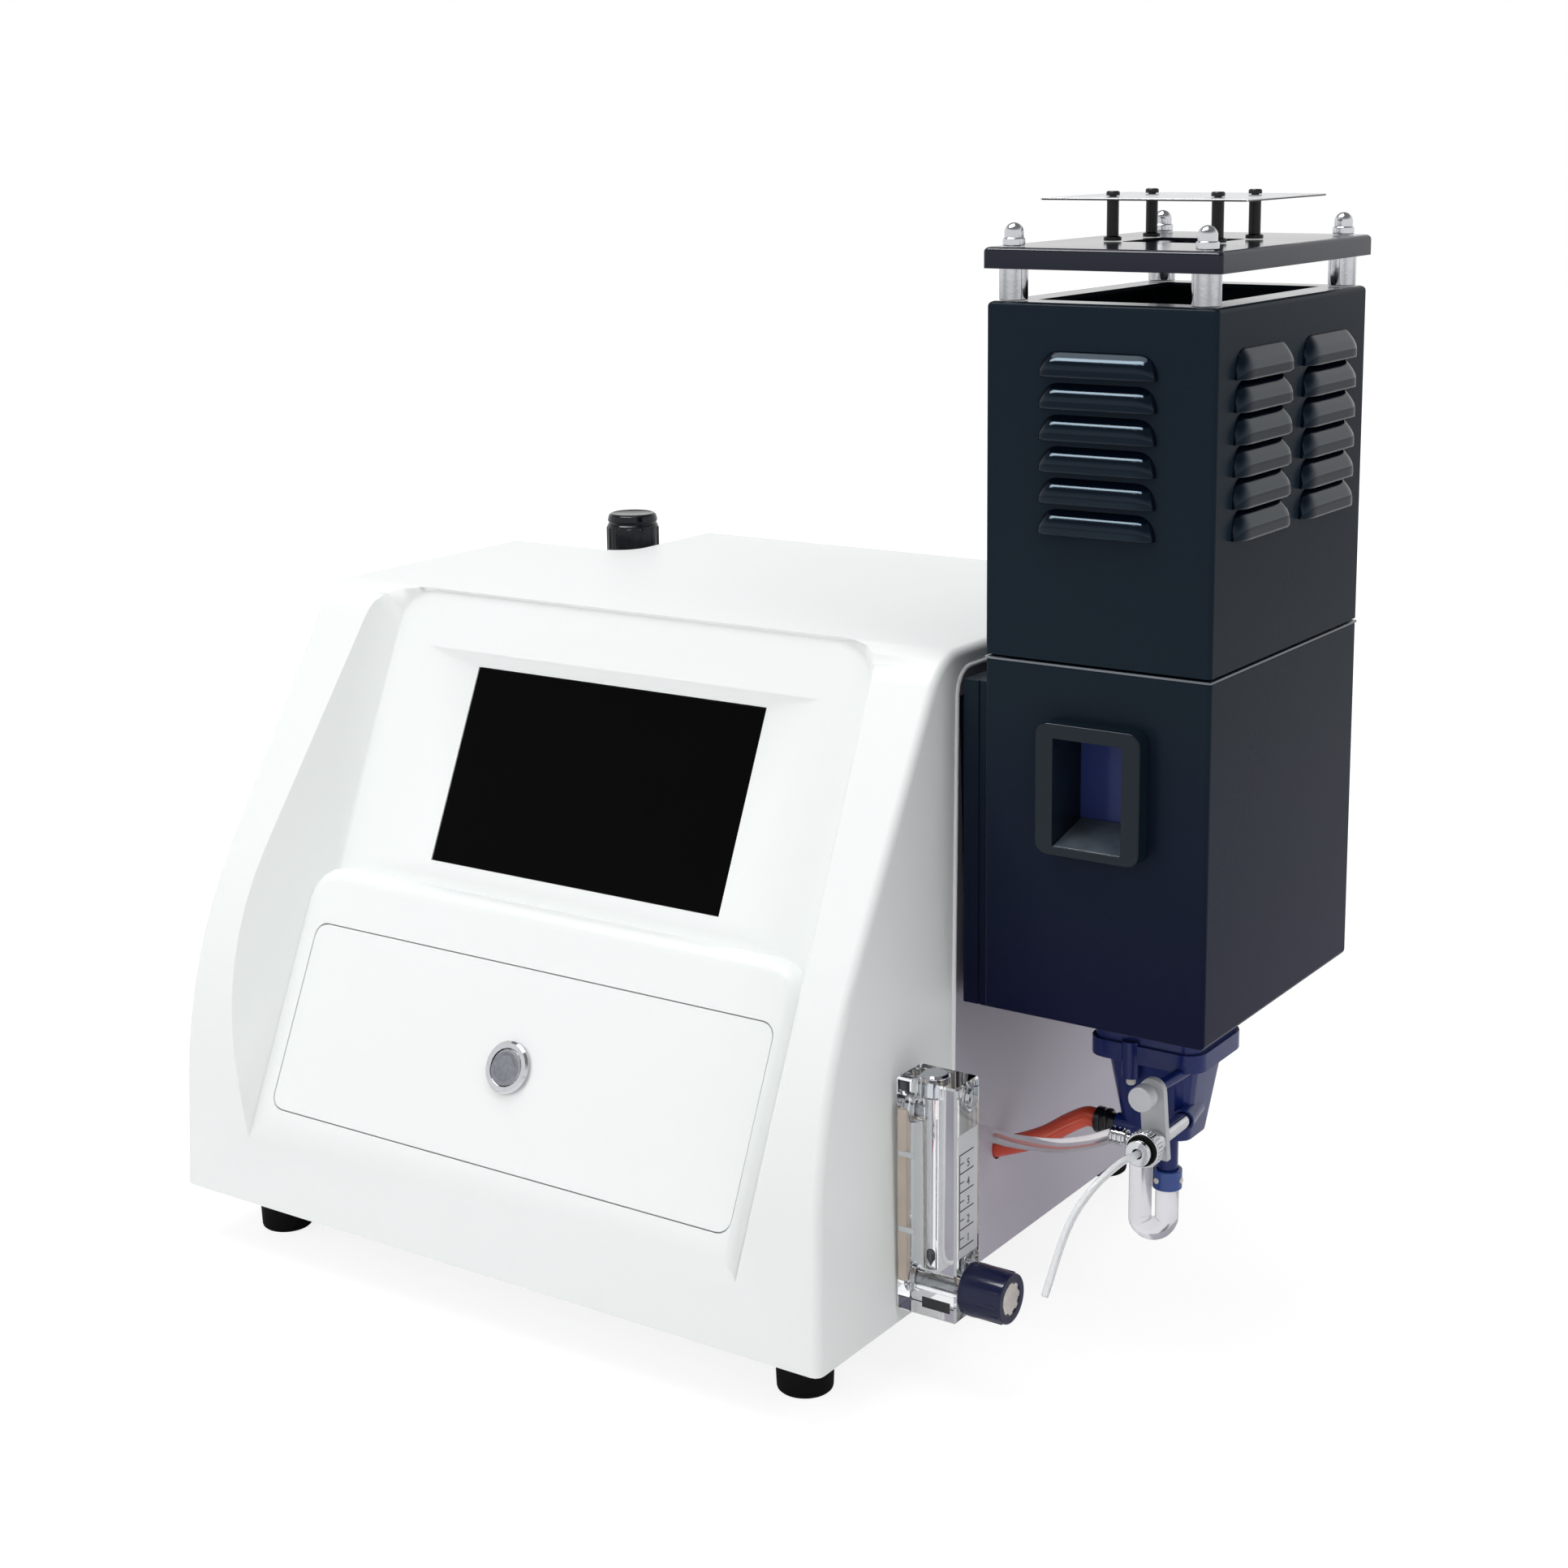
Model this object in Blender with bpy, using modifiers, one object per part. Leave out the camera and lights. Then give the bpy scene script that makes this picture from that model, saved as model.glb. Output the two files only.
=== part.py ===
"""Bench flame photometer with a moulded housing and a sheet metal flame chimney on its right side.

Metres, +Z up, front towards -Y. The driving sizes come first, piece by piece. Pieces are placed
from the datum, the housing's right front bottom corner, and from the tilted display face.
"""
import bpy
import bmesh
import math
from mathutils import Matrix, Vector

# Clearances and cutting
gap = 0.0003
overrun = 0.005
weld_distance = 0.00001
fine_steps = 24
coarse_steps = 16

# Moulded housing
housing_width = 0.337
housing_depth = 0.308
housing_height = 0.2575
housing_wall = 0.003
side_draft = math.radians(1.36)
toe_lean = math.radians(2.5)
front_lean = math.radians(32.0)
toe_height = 0.050
front_radius = 0.206
brow_radius = 0.026
rear_radius = 0.012
edge_radius = 0.0036
notch_width = 0.075
notch_depth = 0.076
notch_radius = 0.012

# Display face, measured along the slope (s) and out of it (n)
face_offset = 0.0008
face_lean = math.radians(24.5)
face_foot_y = 0.06295
face_foot_z = 0.1485
recess_side_margin = 0.0435
recess_flare_share = 0.66
recess_top = 0.1175
recess_corner = 0.015
ridge_top = -0.0110
ridge_round = 0.0072
ridge_corner = 0.016
ridge_steps = 4
panel_rise = 0.0091
panel_foot = -0.150
screen_width = 0.1538
screen_height = 0.0871
pocket_depth = 0.0045
pocket_side_share = 0.561
pocket_top_run = 0.0055
pocket_foot_run = 0.0075
glass_thickness = 0.0026
module_border = 0.006
module_thickness = 0.008

# Lower insert plate and its push button
insert_side_margin = 0.010
insert_offset = 0.0020
insert_height = 0.0813
insert_middle = -0.0776
insert_corner = 0.006
insert_thickness = 0.002
insert_seat_gap = 0.0005
button_hole_radius = 0.0096
bezel_radius = 0.0109
bezel_height = 0.0022
bezel_chamfer = 0.0009
cap_radius = 0.0076
cap_height = 0.0014
cap_stem_radius = 0.0045
button_length = 0.024
button_nut_radius = 0.0125
button_nut_height = 0.004
button_travel = 0.0015

# Chassis plates
plate_thickness = 0.0015
base_height = 0.004
base_margin = 0.002
side_opening_front = 0.0960
side_opening_slant = 0.060
side_opening_foot = 0.008
side_opening_top = 0.2500
side_opening_rear = 0.010
side_opening_corner = 0.010
panel_lap = 0.0015
panel_setback = 0.0011
rear_lap = 0.005
rear_rim = 0.017
rear_foot_rim = 0.014
vent_width = 0.040
vent_height = 0.003
vent_pitch = 0.008
vent_rows = 7
vent_inset = 0.062
vent_drop = 0.0595

# Rubber feet
foot_radius = 0.0121
foot_tip_radius = 0.0112
foot_reach = 0.025
foot_inset_x = 0.0283
foot_inset_front = 0.0331
foot_inset_rear = 0.0230
foot_round = 0.002

# Flame chimney
chimney_standoff = 0.0146
chimney_width = 0.0934
chimney_depth = 0.138
chimney_front = 0.097
chimney_base = 0.1196
chimney_seam = 0.2606
chimney_top = 0.3941
chimney_sheet = 0.0015
chimney_edge = 0.0018
rim_width = 0.014
seam_lip_height = 0.008
duct_front = 0.105
duct_rear = 0.227
duct_foot = 0.117
duct_top = 0.248
duct_left = 0.0007
duct_wall = 0.002
duct_neck_inset = 0.010
duct_depth = 0.0135
duct_flange = 0.004
duct_groove_x = 0.0075
duct_groove = 0.0006
duct_port_width = 0.044
duct_port_height = 0.056
duct_port_z = 0.190

# Pressed louvres
louvre_length = 0.0475
louvre_height = 0.0090
louvre_bulge = 0.0042
louvre_wall = 0.0010
louvre_pitch = 0.01165
louvre_rows = 6
louvre_foot_z = 0.3095
louvre_columns_offset = 0.0303
louvre_arc_steps = 6
louvre_round_steps = 8
hex_sides = 6
groove_sides = 8

# Lid, posts, deflector
lid_width = 0.0960
lid_depth = 0.1395
lid_underside = 0.4056
lid_top = 0.4140
lid_sheet = 0.0012
lid_edge = 0.0025
lid_hole = 0.036
post_radius = 0.0054
post_offset_x = 0.0389
post_offset_y = 0.0620
stud_radius = 0.0024
stud_reach = 0.0055
nut_radius = 0.0042
nut_height = 0.0085
nut_collar = 0.0032
spacer_radius = 0.0024
spacer_foot_radius = 0.0034
spacer_foot_height = 0.0016
spacer_offset_x = 0.0216
spacer_offset_y = 0.0166
spacer_pin_radius = 0.0015
spacer_cap_radius = 0.0026
spacer_cap_height = 0.0018
deflector_width = 0.0842
deflector_depth = 0.0721
deflector_thickness = 0.0008
deflector_z = 0.4300

# Viewing window
window_x = 0.0626
window_z = 0.2138
window_width = 0.0434
window_height = 0.0510
window_rise = 0.0079
window_corner = 0.0050
window_side_border = 0.0074
window_top_border = 0.0057
window_foot_border = 0.0036
window_reach = 0.0180
window_sleeve_wall = 0.0015
window_edge = 0.0007
window_sill = 0.0060
window_lintel = 0.0045
window_glass_setback = 0.0150
window_glass_thickness = 0.0020

# Burner under the chimney
burner_x = 0.0650
burner_y = 0.1555
flange_width = 0.0491
flange_depth = 0.0446
flange_foot_z = 0.0946
flange_corner = 0.008
flange_lip = 0.0015
flange_lip_height = 0.0070
chamber_top_width = 0.0385
chamber_top_depth = 0.0395
chamber_foot_width = 0.0290
chamber_foot_depth = 0.0240
chamber_foot_z = 0.0610
chamber_corner = 0.0100
pillar_x = 0.0600
pillar_y = 0.1350
pillar_radius = 0.0038
pillar_foot_z = 0.0880
burner_hole_radius = 0.0150
head_radius = 0.0110
head_neck_radius = 0.0080
head_height = 0.0330
head_neck_height = 0.0120
head_bore_radius = 0.0030
igniter_offset = 0.0230
igniter_radius = 0.0025
igniter_height = 0.0380
igniter_wire_radius = 0.0008
igniter_wire_reach = 0.0080

# Nebuliser, clamp and their bosses, all along Y
nebuliser_x = 0.0810
nebuliser_z = 0.0730
nebuliser_radius = 0.0033
nebuliser_boss_radius = 0.0045
nebuliser_boss_front = 0.1385
nebuliser_front = 0.1078
nebuliser_collar_radius = 0.0048
nebuliser_collar_length = 0.0060
nut_front = 0.0985
knurl_radius = 0.0074
knurl_neck_radius = 0.0052
knurl_neck_length = 0.0040
knurl_grooves = 14
knurl_groove_radius = 0.0007
capillary_bore_radius = 0.0019
barb_radius = 0.0021
barb_length = 0.0055
clamp_x = 0.0790
clamp_z = 0.0925
clamp_front = 0.1143
clamp_thickness = 0.0030
clamp_end_radius = 0.0052
clamp_foot_z = 0.0655
clamp_arc_steps = 10
clamp_arm_radius = 0.0024
clamp_arm_spread = 0.0060
clamp_arm_rise = 0.0030
clamp_knob_front = 0.1040
clamp_knob_radius = 0.0050
clamp_knob_length = 0.0060
clamp_screw_radius = 0.0018
clamp_screw_reach = 0.0090

# Drain and its trap
spout_x = 0.0660
spout_y = 0.1570
spout_radius = 0.0042
spout_foot_z = 0.0390
ring_radius = 0.0060
ring_top_z = 0.0430
ring_foot_z = 0.0350
trap_radius = 0.0047
trap_shift_x = -0.0094
trap_shift_y = -0.0052
trap_foot_z = 0.0168
trap_far_z = 0.0455
trap_arc_points = 9

# Gas and air lines
gas_x = -0.0020
gas_y = 0.1385
gas_z = 0.0433
gas_turn_x = 0.0100
gas_turn_z = 0.0482
gas_tube_radius = 0.0041
gas_hole_radius = 0.0048
air_y = 0.1170
air_z = 0.0584
air_tube_radius = 0.0028
air_hole_radius = 0.0035
tube_start_x = -0.0140
port_y = 0.1460
port_z = 0.0622
port_face_x = 0.0490
port_radius = 0.0046
fitting_face_x = 0.0400
fitting_radius = 0.0054
fitting_neck_radius = 0.0040
fitting_neck_length = 0.0045
tube_step_share = 2.4
gas_route_shares = ((0.373, 0.533, 0.364), (0.633, 0.867, 0.771), (0.840, 1.0, 1.0))
air_route_shares = ((0.202, 0.081, -0.041), (0.474, 0.323, 0.123), (0.707, 0.726, 0.486), (0.926, 1.0, 1.0))
capillary_route = ((0.0810, 0.1035, 0.0730), (0.0810, 0.0975, 0.0730), (0.0790, 0.0880, 0.0725),
                   (0.0740, 0.0750, 0.0655), (0.0685, 0.0665, 0.0520), (0.0626, 0.0600, 0.0258))

# Flow meter on the right side
meter_left = 0.0004
meter_width = 0.0265
meter_front = 0.0547
meter_depth = 0.0183
meter_foot_z = 0.0065
meter_height = 0.0953
meter_chamfer = 0.0008
bore_x = 0.0125
bore_top_radius = 0.0036
bore_foot_radius = 0.0031
bore_foot_z = 0.0245
plug_radius = 0.0055
plug_depth = 0.0072
plug_rise = 0.0012
float_radius = 0.0027
float_height = 0.0058
float_travel = 0.050
float_cone_share = 0.6
valve_z = 0.0187
valve_radius = 0.0040
valve_inner_x = -0.0140
valve_tip_x = 0.0400
outlet_z = 0.0880
outlet_tip_x = 0.0085
stem_nut_radius = 0.0068
stem_nut_length = 0.0030
stem_nut_x = -0.0100
knob_start_x = 0.0280
knob_length = 0.0184
knob_radius = 0.0108
knob_grip_share = 0.10
knob_grips = 12
knob_bore_depth = 0.0140

# Filter regulator in the rear notch
regulator_inset_x = 0.0530
regulator_inset_y = 0.0410
regulator_body_size = 0.0300
regulator_body_height = 0.0510
regulator_body_drop = 0.0325
regulator_bonnet_radius = 0.0130
regulator_bonnet_height = 0.0120
bowl_radius = 0.0145
bowl_height = 0.0560
bowl_dome = 0.006
drain_cock_radius = 0.0040
drain_cock_reach = 0.0100
regulator_port_radius = 0.0060
regulator_knob_radius = 0.0132
regulator_knob_height = 0.0325
regulator_knob_round = 0.0035
regulator_flutes = 12
regulator_flute_radius = 0.0014

# Rear fittings
inlet_x = -0.060
inlet_z = 0.052
inlet_width = 0.030
inlet_height = 0.060
inlet_flange = 0.0025
inlet_depth = 0.026
inlet_socket_width = 0.024
inlet_socket_height = 0.020
inlet_socket_depth = 0.016
rocker_width = 0.0130
rocker_height = 0.0190
rocker_thickness = 0.0080
rocker_pivot_depth = 0.0020
rocker_tilt = math.radians(9.0)
rocker_offset = 0.0150
rocker_well_share = 1.5
rocker_back_share = 0.45
rocker_foot_share = 0.5
gas_inlet_x = -0.110
gas_inlet_z = 0.060
gas_inlet_radius = 0.0045
gas_inlet_reach = 0.0160
gas_inlet_hex_radius = 0.0085
gas_inlet_hex_height = 0.0050
gas_inlet_tail = 0.0120

# Inner pieces
optics_x = -0.020
optics_length = 0.050
optics_width = 0.060
optics_drop = 0.030
optics_headroom = 0.0375
optics_y = 0.166
optics_column_width = 0.040
optics_column_depth = 0.020
optics_snout_radius = 0.017
optics_snout_length = 0.008
board_x = -0.215
board_y = 0.120
board_width = 0.110
board_depth = 0.090
board_thickness = 0.0016
board_pillar_radius = 0.003
board_pillar_height = 0.008
board_margin = 0.008
board_chip = 0.014
board_chip_height = 0.004
supply_x = -0.245
supply_y = 0.070
supply_width = 0.100
supply_depth = 0.036
supply_height = 0.028

centre_x = -housing_width / 2
face_middle_x = centre_x + face_offset
recess_half_width = housing_width / 2 - recess_side_margin
pocket_side_run = (recess_half_width - screen_width / 2) * pocket_side_share
ridge_half_width = recess_half_width + recess_flare_share * panel_rise
insert_width = (ridge_half_width - insert_side_margin) * 2
vent_x = notch_width - housing_width + vent_inset
vent_z = housing_height - vent_drop - vent_pitch * (vent_rows - 1)
regulator_x = regulator_inset_x - housing_width
regulator_y = housing_depth - regulator_inset_y
regulator_body_top = housing_height - regulator_body_drop
regulator_body_foot = regulator_body_top - regulator_body_height
regulator_bonnet_top = regulator_body_top + regulator_bonnet_height
regulator_knob_top = regulator_bonnet_top + gap + regulator_knob_height
bowl_foot_z = regulator_body_foot - bowl_height
optics_z = duct_port_z
chimney_x = chimney_standoff + chimney_width / 2
chimney_y = chimney_front + chimney_depth / 2
right_reach = chimney_standoff + chimney_width + louvre_bulge
rear_reach = gas_inlet_reach + gas_inlet_hex_height
overall_depth = housing_depth + rear_reach - housing_wall
datum_x = (housing_width - right_reach) / 2
datum_y = -overall_depth / 2

white = ((0.86, 0.87, 0.88), 0.35, 0.0)
black_coat = ((0.012, 0.014, 0.020), 0.42, 0.0)
black_plastic = ((0.010, 0.011, 0.014), 0.38, 0.0)
rubber = ((0.012, 0.012, 0.012), 0.80, 0.0)
steel = ((0.62, 0.62, 0.63), 0.30, 1.0)
bright = ((0.80, 0.80, 0.82), 0.15, 1.0)
aluminium = ((0.72, 0.73, 0.75), 0.28, 1.0)
brass = ((0.60, 0.47, 0.28), 0.30, 1.0)
blue = ((0.012, 0.030, 0.180), 0.35, 0.0)
navy = ((0.016, 0.020, 0.075), 0.30, 0.0)
grey = ((0.55, 0.56, 0.57), 0.45, 0.0)
clear = ((0.90, 0.93, 0.94), 0.05, 0.0)
orange = ((0.72, 0.11, 0.035), 0.35, 0.0)
glass_black = ((0.004, 0.004, 0.005), 0.06, 0.0)
cobalt = ((0.010, 0.018, 0.130), 0.08, 0.0)
green_board = ((0.02, 0.16, 0.07), 0.50, 0.0)

for old in list(bpy.data.objects):
    bpy.data.objects.remove(old, do_unlink=True)

parts = bpy.data.collections.new("flame_photometer")
cutters = bpy.data.collections.new("cutters")
bpy.context.scene.collection.children.link(parts)
bpy.context.scene.collection.children.link(cutters)


def frame_empty(name, location, rotation, parent):
    """Add an empty that carries pieces."""
    empty = bpy.data.objects.new(name, None)
    empty.location = location
    empty.rotation_euler = rotation
    empty.parent = parent
    parts.objects.link(empty)
    return empty


datum = frame_empty("datum", (datum_x, datum_y, foot_reach), (0, 0, 0), None)
face = frame_empty("display_face", (face_middle_x, face_foot_y, face_foot_z),
                   (math.pi / 2 - face_lean, 0, 0), datum)
side = frame_empty("side_face", (0, 0, 0), (0, -side_draft, 0), datum)


def paint(obj, finish):
    """Give the piece its own material."""
    colour, roughness, metallic = finish
    material = bpy.data.materials.new(obj.name)
    material.use_nodes = True
    shader = material.node_tree.nodes["Principled BSDF"]
    shader.inputs["Base Color"].default_value = (*colour, 1)
    shader.inputs["Roughness"].default_value = roughness
    shader.inputs["Metallic"].default_value = metallic
    obj.data.materials.clear()
    obj.data.materials.append(material)


def add(name, data, finish, parent, origin=(0, 0, 0)):
    """Link a piece, or a cutter where it has no finish."""
    obj = bpy.data.objects.new(name, data)
    obj.location = origin
    obj.parent = parent
    if finish is None:
        cutters.objects.link(obj)
        obj.hide_render = True
        obj.display_type = "WIRE"
    else:
        parts.objects.link(obj)
        paint(obj, finish)
    return obj


def mesh_from(bm, name):
    """Turn a bmesh into smooth shaded mesh data."""
    bmesh.ops.recalc_face_normals(bm, faces=bm.faces)
    data = bpy.data.meshes.new(name)
    bm.to_mesh(data)
    bm.free()
    data.shade_smooth()
    data.set_sharp_from_angle(angle=math.radians(35))
    return data


def block(name, low, high, finish=None, parent=datum, origin=(0, 0, 0)):
    """A box between two corners given in the parent's frame."""
    low, high, origin = Vector(low), Vector(high), Vector(origin)
    bm = bmesh.new()
    place = Matrix.Translation((low + high) / 2 - origin) @ Matrix.Diagonal((*(high - low), 1))
    bmesh.ops.create_cube(bm, size=1, matrix=place)
    return add(name, mesh_from(bm, name), finish, parent, origin)


def rod(name, start, end, radius, finish=None, end_radius=None, parent=datum, steps=coarse_steps,
        origin=None):
    """A round bar or cone from one point to another, with its origin at the start."""
    start, end = Vector(start), Vector(end)
    origin = start if origin is None else Vector(origin)
    span = end - start
    turn = Vector((0, 0, 1)).rotation_difference(span).to_matrix().to_4x4()
    bm = bmesh.new()
    bmesh.ops.create_cone(bm, cap_ends=True, segments=steps, radius1=radius,
                          radius2=radius if end_radius is None else end_radius, depth=span.length,
                          matrix=Matrix.Translation((start + end) / 2 - origin) @ turn)
    return add(name, mesh_from(bm, name), finish, parent, origin)


AXES = {"X": Matrix(((0, 0, 1, 0), (1, 0, 0, 0), (0, 1, 0, 0), (0, 0, 0, 1))),
        "Y": Matrix(((1, 0, 0, 0), (0, 0, -1, 0), (0, 1, 0, 0), (0, 0, 0, 1))),
        "Z": Matrix.Identity(4)}


def prism(name, outline, low, high, axis, finish=None, parent=datum, reshape=None, origin=(0, 0, 0)):
    """A flat outline, filled and given its thickness from low to high along an axis."""
    curve = bpy.data.curves.new(name, "CURVE")
    curve.dimensions = "2D"
    curve.fill_mode = "BOTH"
    curve.extrude = (high - low) / 2
    spline = curve.splines.new("POLY")
    spline.points.add(len(outline) - 1)
    for point, (u, v) in zip(spline.points, outline):
        point.co = (u, v, 0, 1)
    spline.use_cyclic_u = True
    rough = bpy.data.objects.new(name, curve)
    bpy.context.scene.collection.objects.link(rough)
    bpy.context.view_layer.update()
    data = bpy.data.meshes.new_from_object(rough.evaluated_get(bpy.context.evaluated_depsgraph_get()))
    bpy.data.objects.remove(rough, do_unlink=True)
    bm = bmesh.new()
    bm.from_mesh(data)
    bpy.data.meshes.remove(data)
    bmesh.ops.remove_doubles(bm, verts=bm.verts, dist=weld_distance)
    bmesh.ops.dissolve_limit(bm, angle_limit=math.radians(0.05), verts=bm.verts, edges=bm.edges)
    middle = (low + high) / 2
    shift = {"X": (middle, 0, 0), "Y": (0, middle, 0), "Z": (0, 0, middle)}[axis]
    bmesh.ops.transform(bm, matrix=Matrix.Translation(Vector(shift) - Vector(origin)) @ AXES[axis],
                        verts=bm.verts)
    if reshape is not None:
        for vert in bm.verts:
            vert.co = reshape(vert.co.copy())
    return add(name, mesh_from(bm, name), finish, parent, origin)


def turned(name, profile, origin, axis, finish=None, parent=datum, steps=fine_steps):
    """A profile of radius and height pairs, top first, turned about an axis through the origin."""
    closed = profile[0] == profile[-1]
    points = profile[:-1] if closed else profile
    edges = [(i, i + 1) for i in range(len(points) - 1)] + ([(len(points) - 1, 0)] if closed else [])
    data = bpy.data.meshes.new(name)
    data.from_pydata([(radius, 0, height) for radius, height in points], edges, [])
    obj = add(name, data, finish, parent, origin)
    obj.rotation_euler = Vector((0, 0, 1)).rotation_difference(Vector(axis)).to_euler()
    screw = obj.modifiers.new("turn", "SCREW")
    screw.axis = "Z"
    screw.steps = steps
    screw.render_steps = steps
    screw.use_merge_vertices = True
    screw.merge_threshold = weld_distance
    return obj


def cut(obj, tool, operation="DIFFERENCE"):
    """Take the tool out of the piece, or join it on."""
    boolean = obj.modifiers.new(tool.name, "BOOLEAN")
    boolean.operation = operation
    boolean.object = tool
    boolean.solver = "EXACT"
    return obj


def join(obj, tool):
    return cut(obj, tool, "UNION")


def soften(obj, width, segments=2, angle=math.radians(40)):
    """Round the sharp edges."""
    bevel = obj.modifiers.new("rounding", "BEVEL")
    bevel.width = width
    bevel.segments = segments
    bevel.limit_method = "ANGLE"
    bevel.angle_limit = angle
    bevel.use_clamp_overlap = True
    return obj


def arc(cx, cy, radius, start, end, steps):
    """Points on an arc, angles in radians."""
    return [(cx + radius * math.cos(start + (end - start) * i / steps),
             cy + radius * math.sin(start + (end - start) * i / steps)) for i in range(steps + 1)]


def rounded_rectangle(low, high, radius, steps=4):
    """An outline with four round corners, counterclockwise."""
    quarter = math.pi / 2
    centres = ((high[0] - radius, high[1] - radius), (low[0] + radius, high[1] - radius),
               (low[0] + radius, low[1] + radius), (high[0] - radius, low[1] + radius))
    points = []
    for turn, (cx, cy) in enumerate(centres):
        points += arc(cx, cy, radius, turn * quarter, (turn + 1) * quarter, steps)
    return points


def about(x, y, half_x, half_y):
    """Two corners of a rectangle round a middle point."""
    return (x - half_x, y - half_y), (x + half_x, y + half_y)


def smooth_route(points, step):
    """Evenly spaced points on a smooth curve through the points of a route."""
    knots = [Vector(p) for p in points]
    ends = [2 * knots[0] - knots[1]] + knots + [2 * knots[-1] - knots[-2]]
    dense = []
    samples = 24
    for a, b, c, d in zip(ends, ends[1:], ends[2:], ends[3:]):
        for i in range(samples):
            t = i / samples
            dense.append(0.5 * ((2 * b) + (c - a) * t + (2 * a - 5 * b + 4 * c - d) * t ** 2
                                + (3 * b - a - 3 * c + d) * t ** 3))
    dense.append(knots[-1])
    length = sum((q - p).length for p, q in zip(dense, dense[1:]))
    count = max(2, round(length / step))
    spaced, walked, target = [dense[0]], 0.0, length / count
    for p, q in zip(dense, dense[1:]):
        leg = (q - p).length
        while leg > 0 and walked + leg >= target and len(spaced) < count:
            spaced.append(p + (q - p) * ((target - walked) / leg))
            target += length / count
        walked += leg
    spaced.append(dense[-1])
    return spaced


def between(start, end, shares):
    """Points between two places, each given as its share of the way along x, y and z."""
    return [tuple(a + (b - a) * share for a, b, share in zip(start, end, point)) for point in shares]


def pipe(name, points, radius, finish, resolution=2):
    """A round tube along points, with closed ends."""
    curve = bpy.data.curves.new(name, "CURVE")
    curve.dimensions = "3D"
    curve.bevel_depth = radius
    curve.bevel_resolution = resolution
    curve.use_fill_caps = True
    spline = curve.splines.new("POLY")
    spline.points.add(len(points) - 1)
    origin = Vector(points[0])
    for knot, point in zip(spline.points, points):
        knot.co = (*(Vector(point) - origin), 1)
    return add(name, curve, finish, datum, origin)


def tapered(point):
    """Lean the housing's sides in by the draft."""
    share = 1 - math.tan(side_draft) * point.z / (housing_width / 2)
    return Vector((centre_x + (point.x - centre_x) * share, point.y, point.z))


def housing_outline(inset):
    """The housing seen from its right side, drawn inward by the inset."""
    toe_y = toe_height * math.tan(toe_lean)
    turn_y = toe_y + front_radius * math.cos(toe_lean)
    turn_z = toe_height - front_radius * math.sin(toe_lean)
    bend = arc(turn_y, turn_z, front_radius - inset, math.pi - toe_lean, math.pi - front_lean, 8)
    top_z = housing_height
    bend_y = turn_y - front_radius * math.cos(front_lean)
    bend_z = turn_z + front_radius * math.sin(front_lean)
    crest_y = bend_y + (top_z - bend_z) * math.tan(front_lean)
    brow_y = crest_y + brow_radius * math.tan((math.pi / 2 - front_lean) / 2)
    brow = arc(brow_y, top_z - brow_radius, brow_radius - inset, math.pi - front_lean, math.pi / 2, 6)
    rear = arc(housing_depth - rear_radius, top_z - rear_radius, rear_radius - inset, math.pi / 2, 0, 4)
    foot_z = -overrun - inset
    foot_y = inset / math.cos(toe_lean) + foot_z * math.tan(toe_lean)
    return [(foot_y, foot_z)] + bend + brow + rear + [(housing_depth - inset, foot_z)]


def notch_outline(grow):
    """The cut-out in the rear left corner for the filter regulator, seen from above."""
    right = notch_width - housing_width + grow
    front = housing_depth - notch_depth - grow
    radius = notch_radius + grow
    corner = arc(right - radius, front + radius, radius, -math.pi / 2, 0, 6)
    far = housing_depth + overrun
    outer = -housing_width - overrun
    return [(outer, front)] + corner + [(right, far), (outer, far)]


def recess_flare(grow):
    """Widen the recess towards the front, evenly on both sides."""
    def reshape(point):
        half = recess_half_width + grow + recess_flare_share * point.z
        return Vector((math.copysign(half, point.x), point.y, point.z))
    return reshape


def recess_outline(grow):
    """The recess seen from the side, as slope and rise."""
    front = housing_height / 3
    return [(panel_foot, -grow), (recess_top + grow, -grow),
            (recess_top + grow + front * recess_flare_share, front), (panel_foot, front)]


def raised_block(name, shrink):
    """The raised lower part of the recess, whose rounded upper edge is the ridge under the screen."""
    low = (shrink - ridge_half_width, panel_foot - overrun)
    high = (ridge_half_width - shrink, ridge_top - shrink)
    block_body = prism(name, rounded_rectangle(low, high, ridge_corner - shrink), -ridge_round * 2,
                       panel_rise - shrink, "Z", None, face)
    return soften(block_body, ridge_round - shrink, ridge_steps)


def recess_tool(name, grow):
    """The volume that the display recess takes out of the housing, above its raised block."""
    tool = prism(name, recess_outline(grow), -recess_half_width, recess_half_width, "X", None, face,
                 recess_flare(grow))
    weights = tool.data.attributes.new("bevel_weight_edge", "FLOAT", "EDGE")
    for edge in tool.data.edges:
        ends = [tool.data.vertices[i].co for i in edge.vertices]
        same_side = ends[0].x * ends[1].x > 0
        at_top = all(end.y > recess_top - overrun for end in ends)
        deep = abs(ends[0].z - ends[1].z) > overrun
        weights.data[edge.index].value = 1.0 if same_side and at_top and deep else 0.0
    bevel = tool.modifiers.new("corners", "BEVEL")
    bevel.width = recess_corner
    bevel.segments = 4
    bevel.limit_method = "WEIGHT"
    return cut(tool, raised_block(name + "_block", grow))


def display_pocket():
    """The bevelled pocket round the screen."""
    def reshape(point):
        out = (point.z + pocket_depth) / pocket_depth
        half = screen_width / 2 + pocket_side_run * out
        slope = -pocket_foot_run * out if point.y < 0 else screen_height + pocket_top_run * out
        return Vector((math.copysign(half, point.x), slope, point.z))
    outline = [(-overrun, -pocket_depth), (overrun, -pocket_depth), (overrun, gap), (-overrun, gap)]
    return prism("pocket_tool", outline, -overrun, overrun, "X", None, face, reshape)


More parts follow.
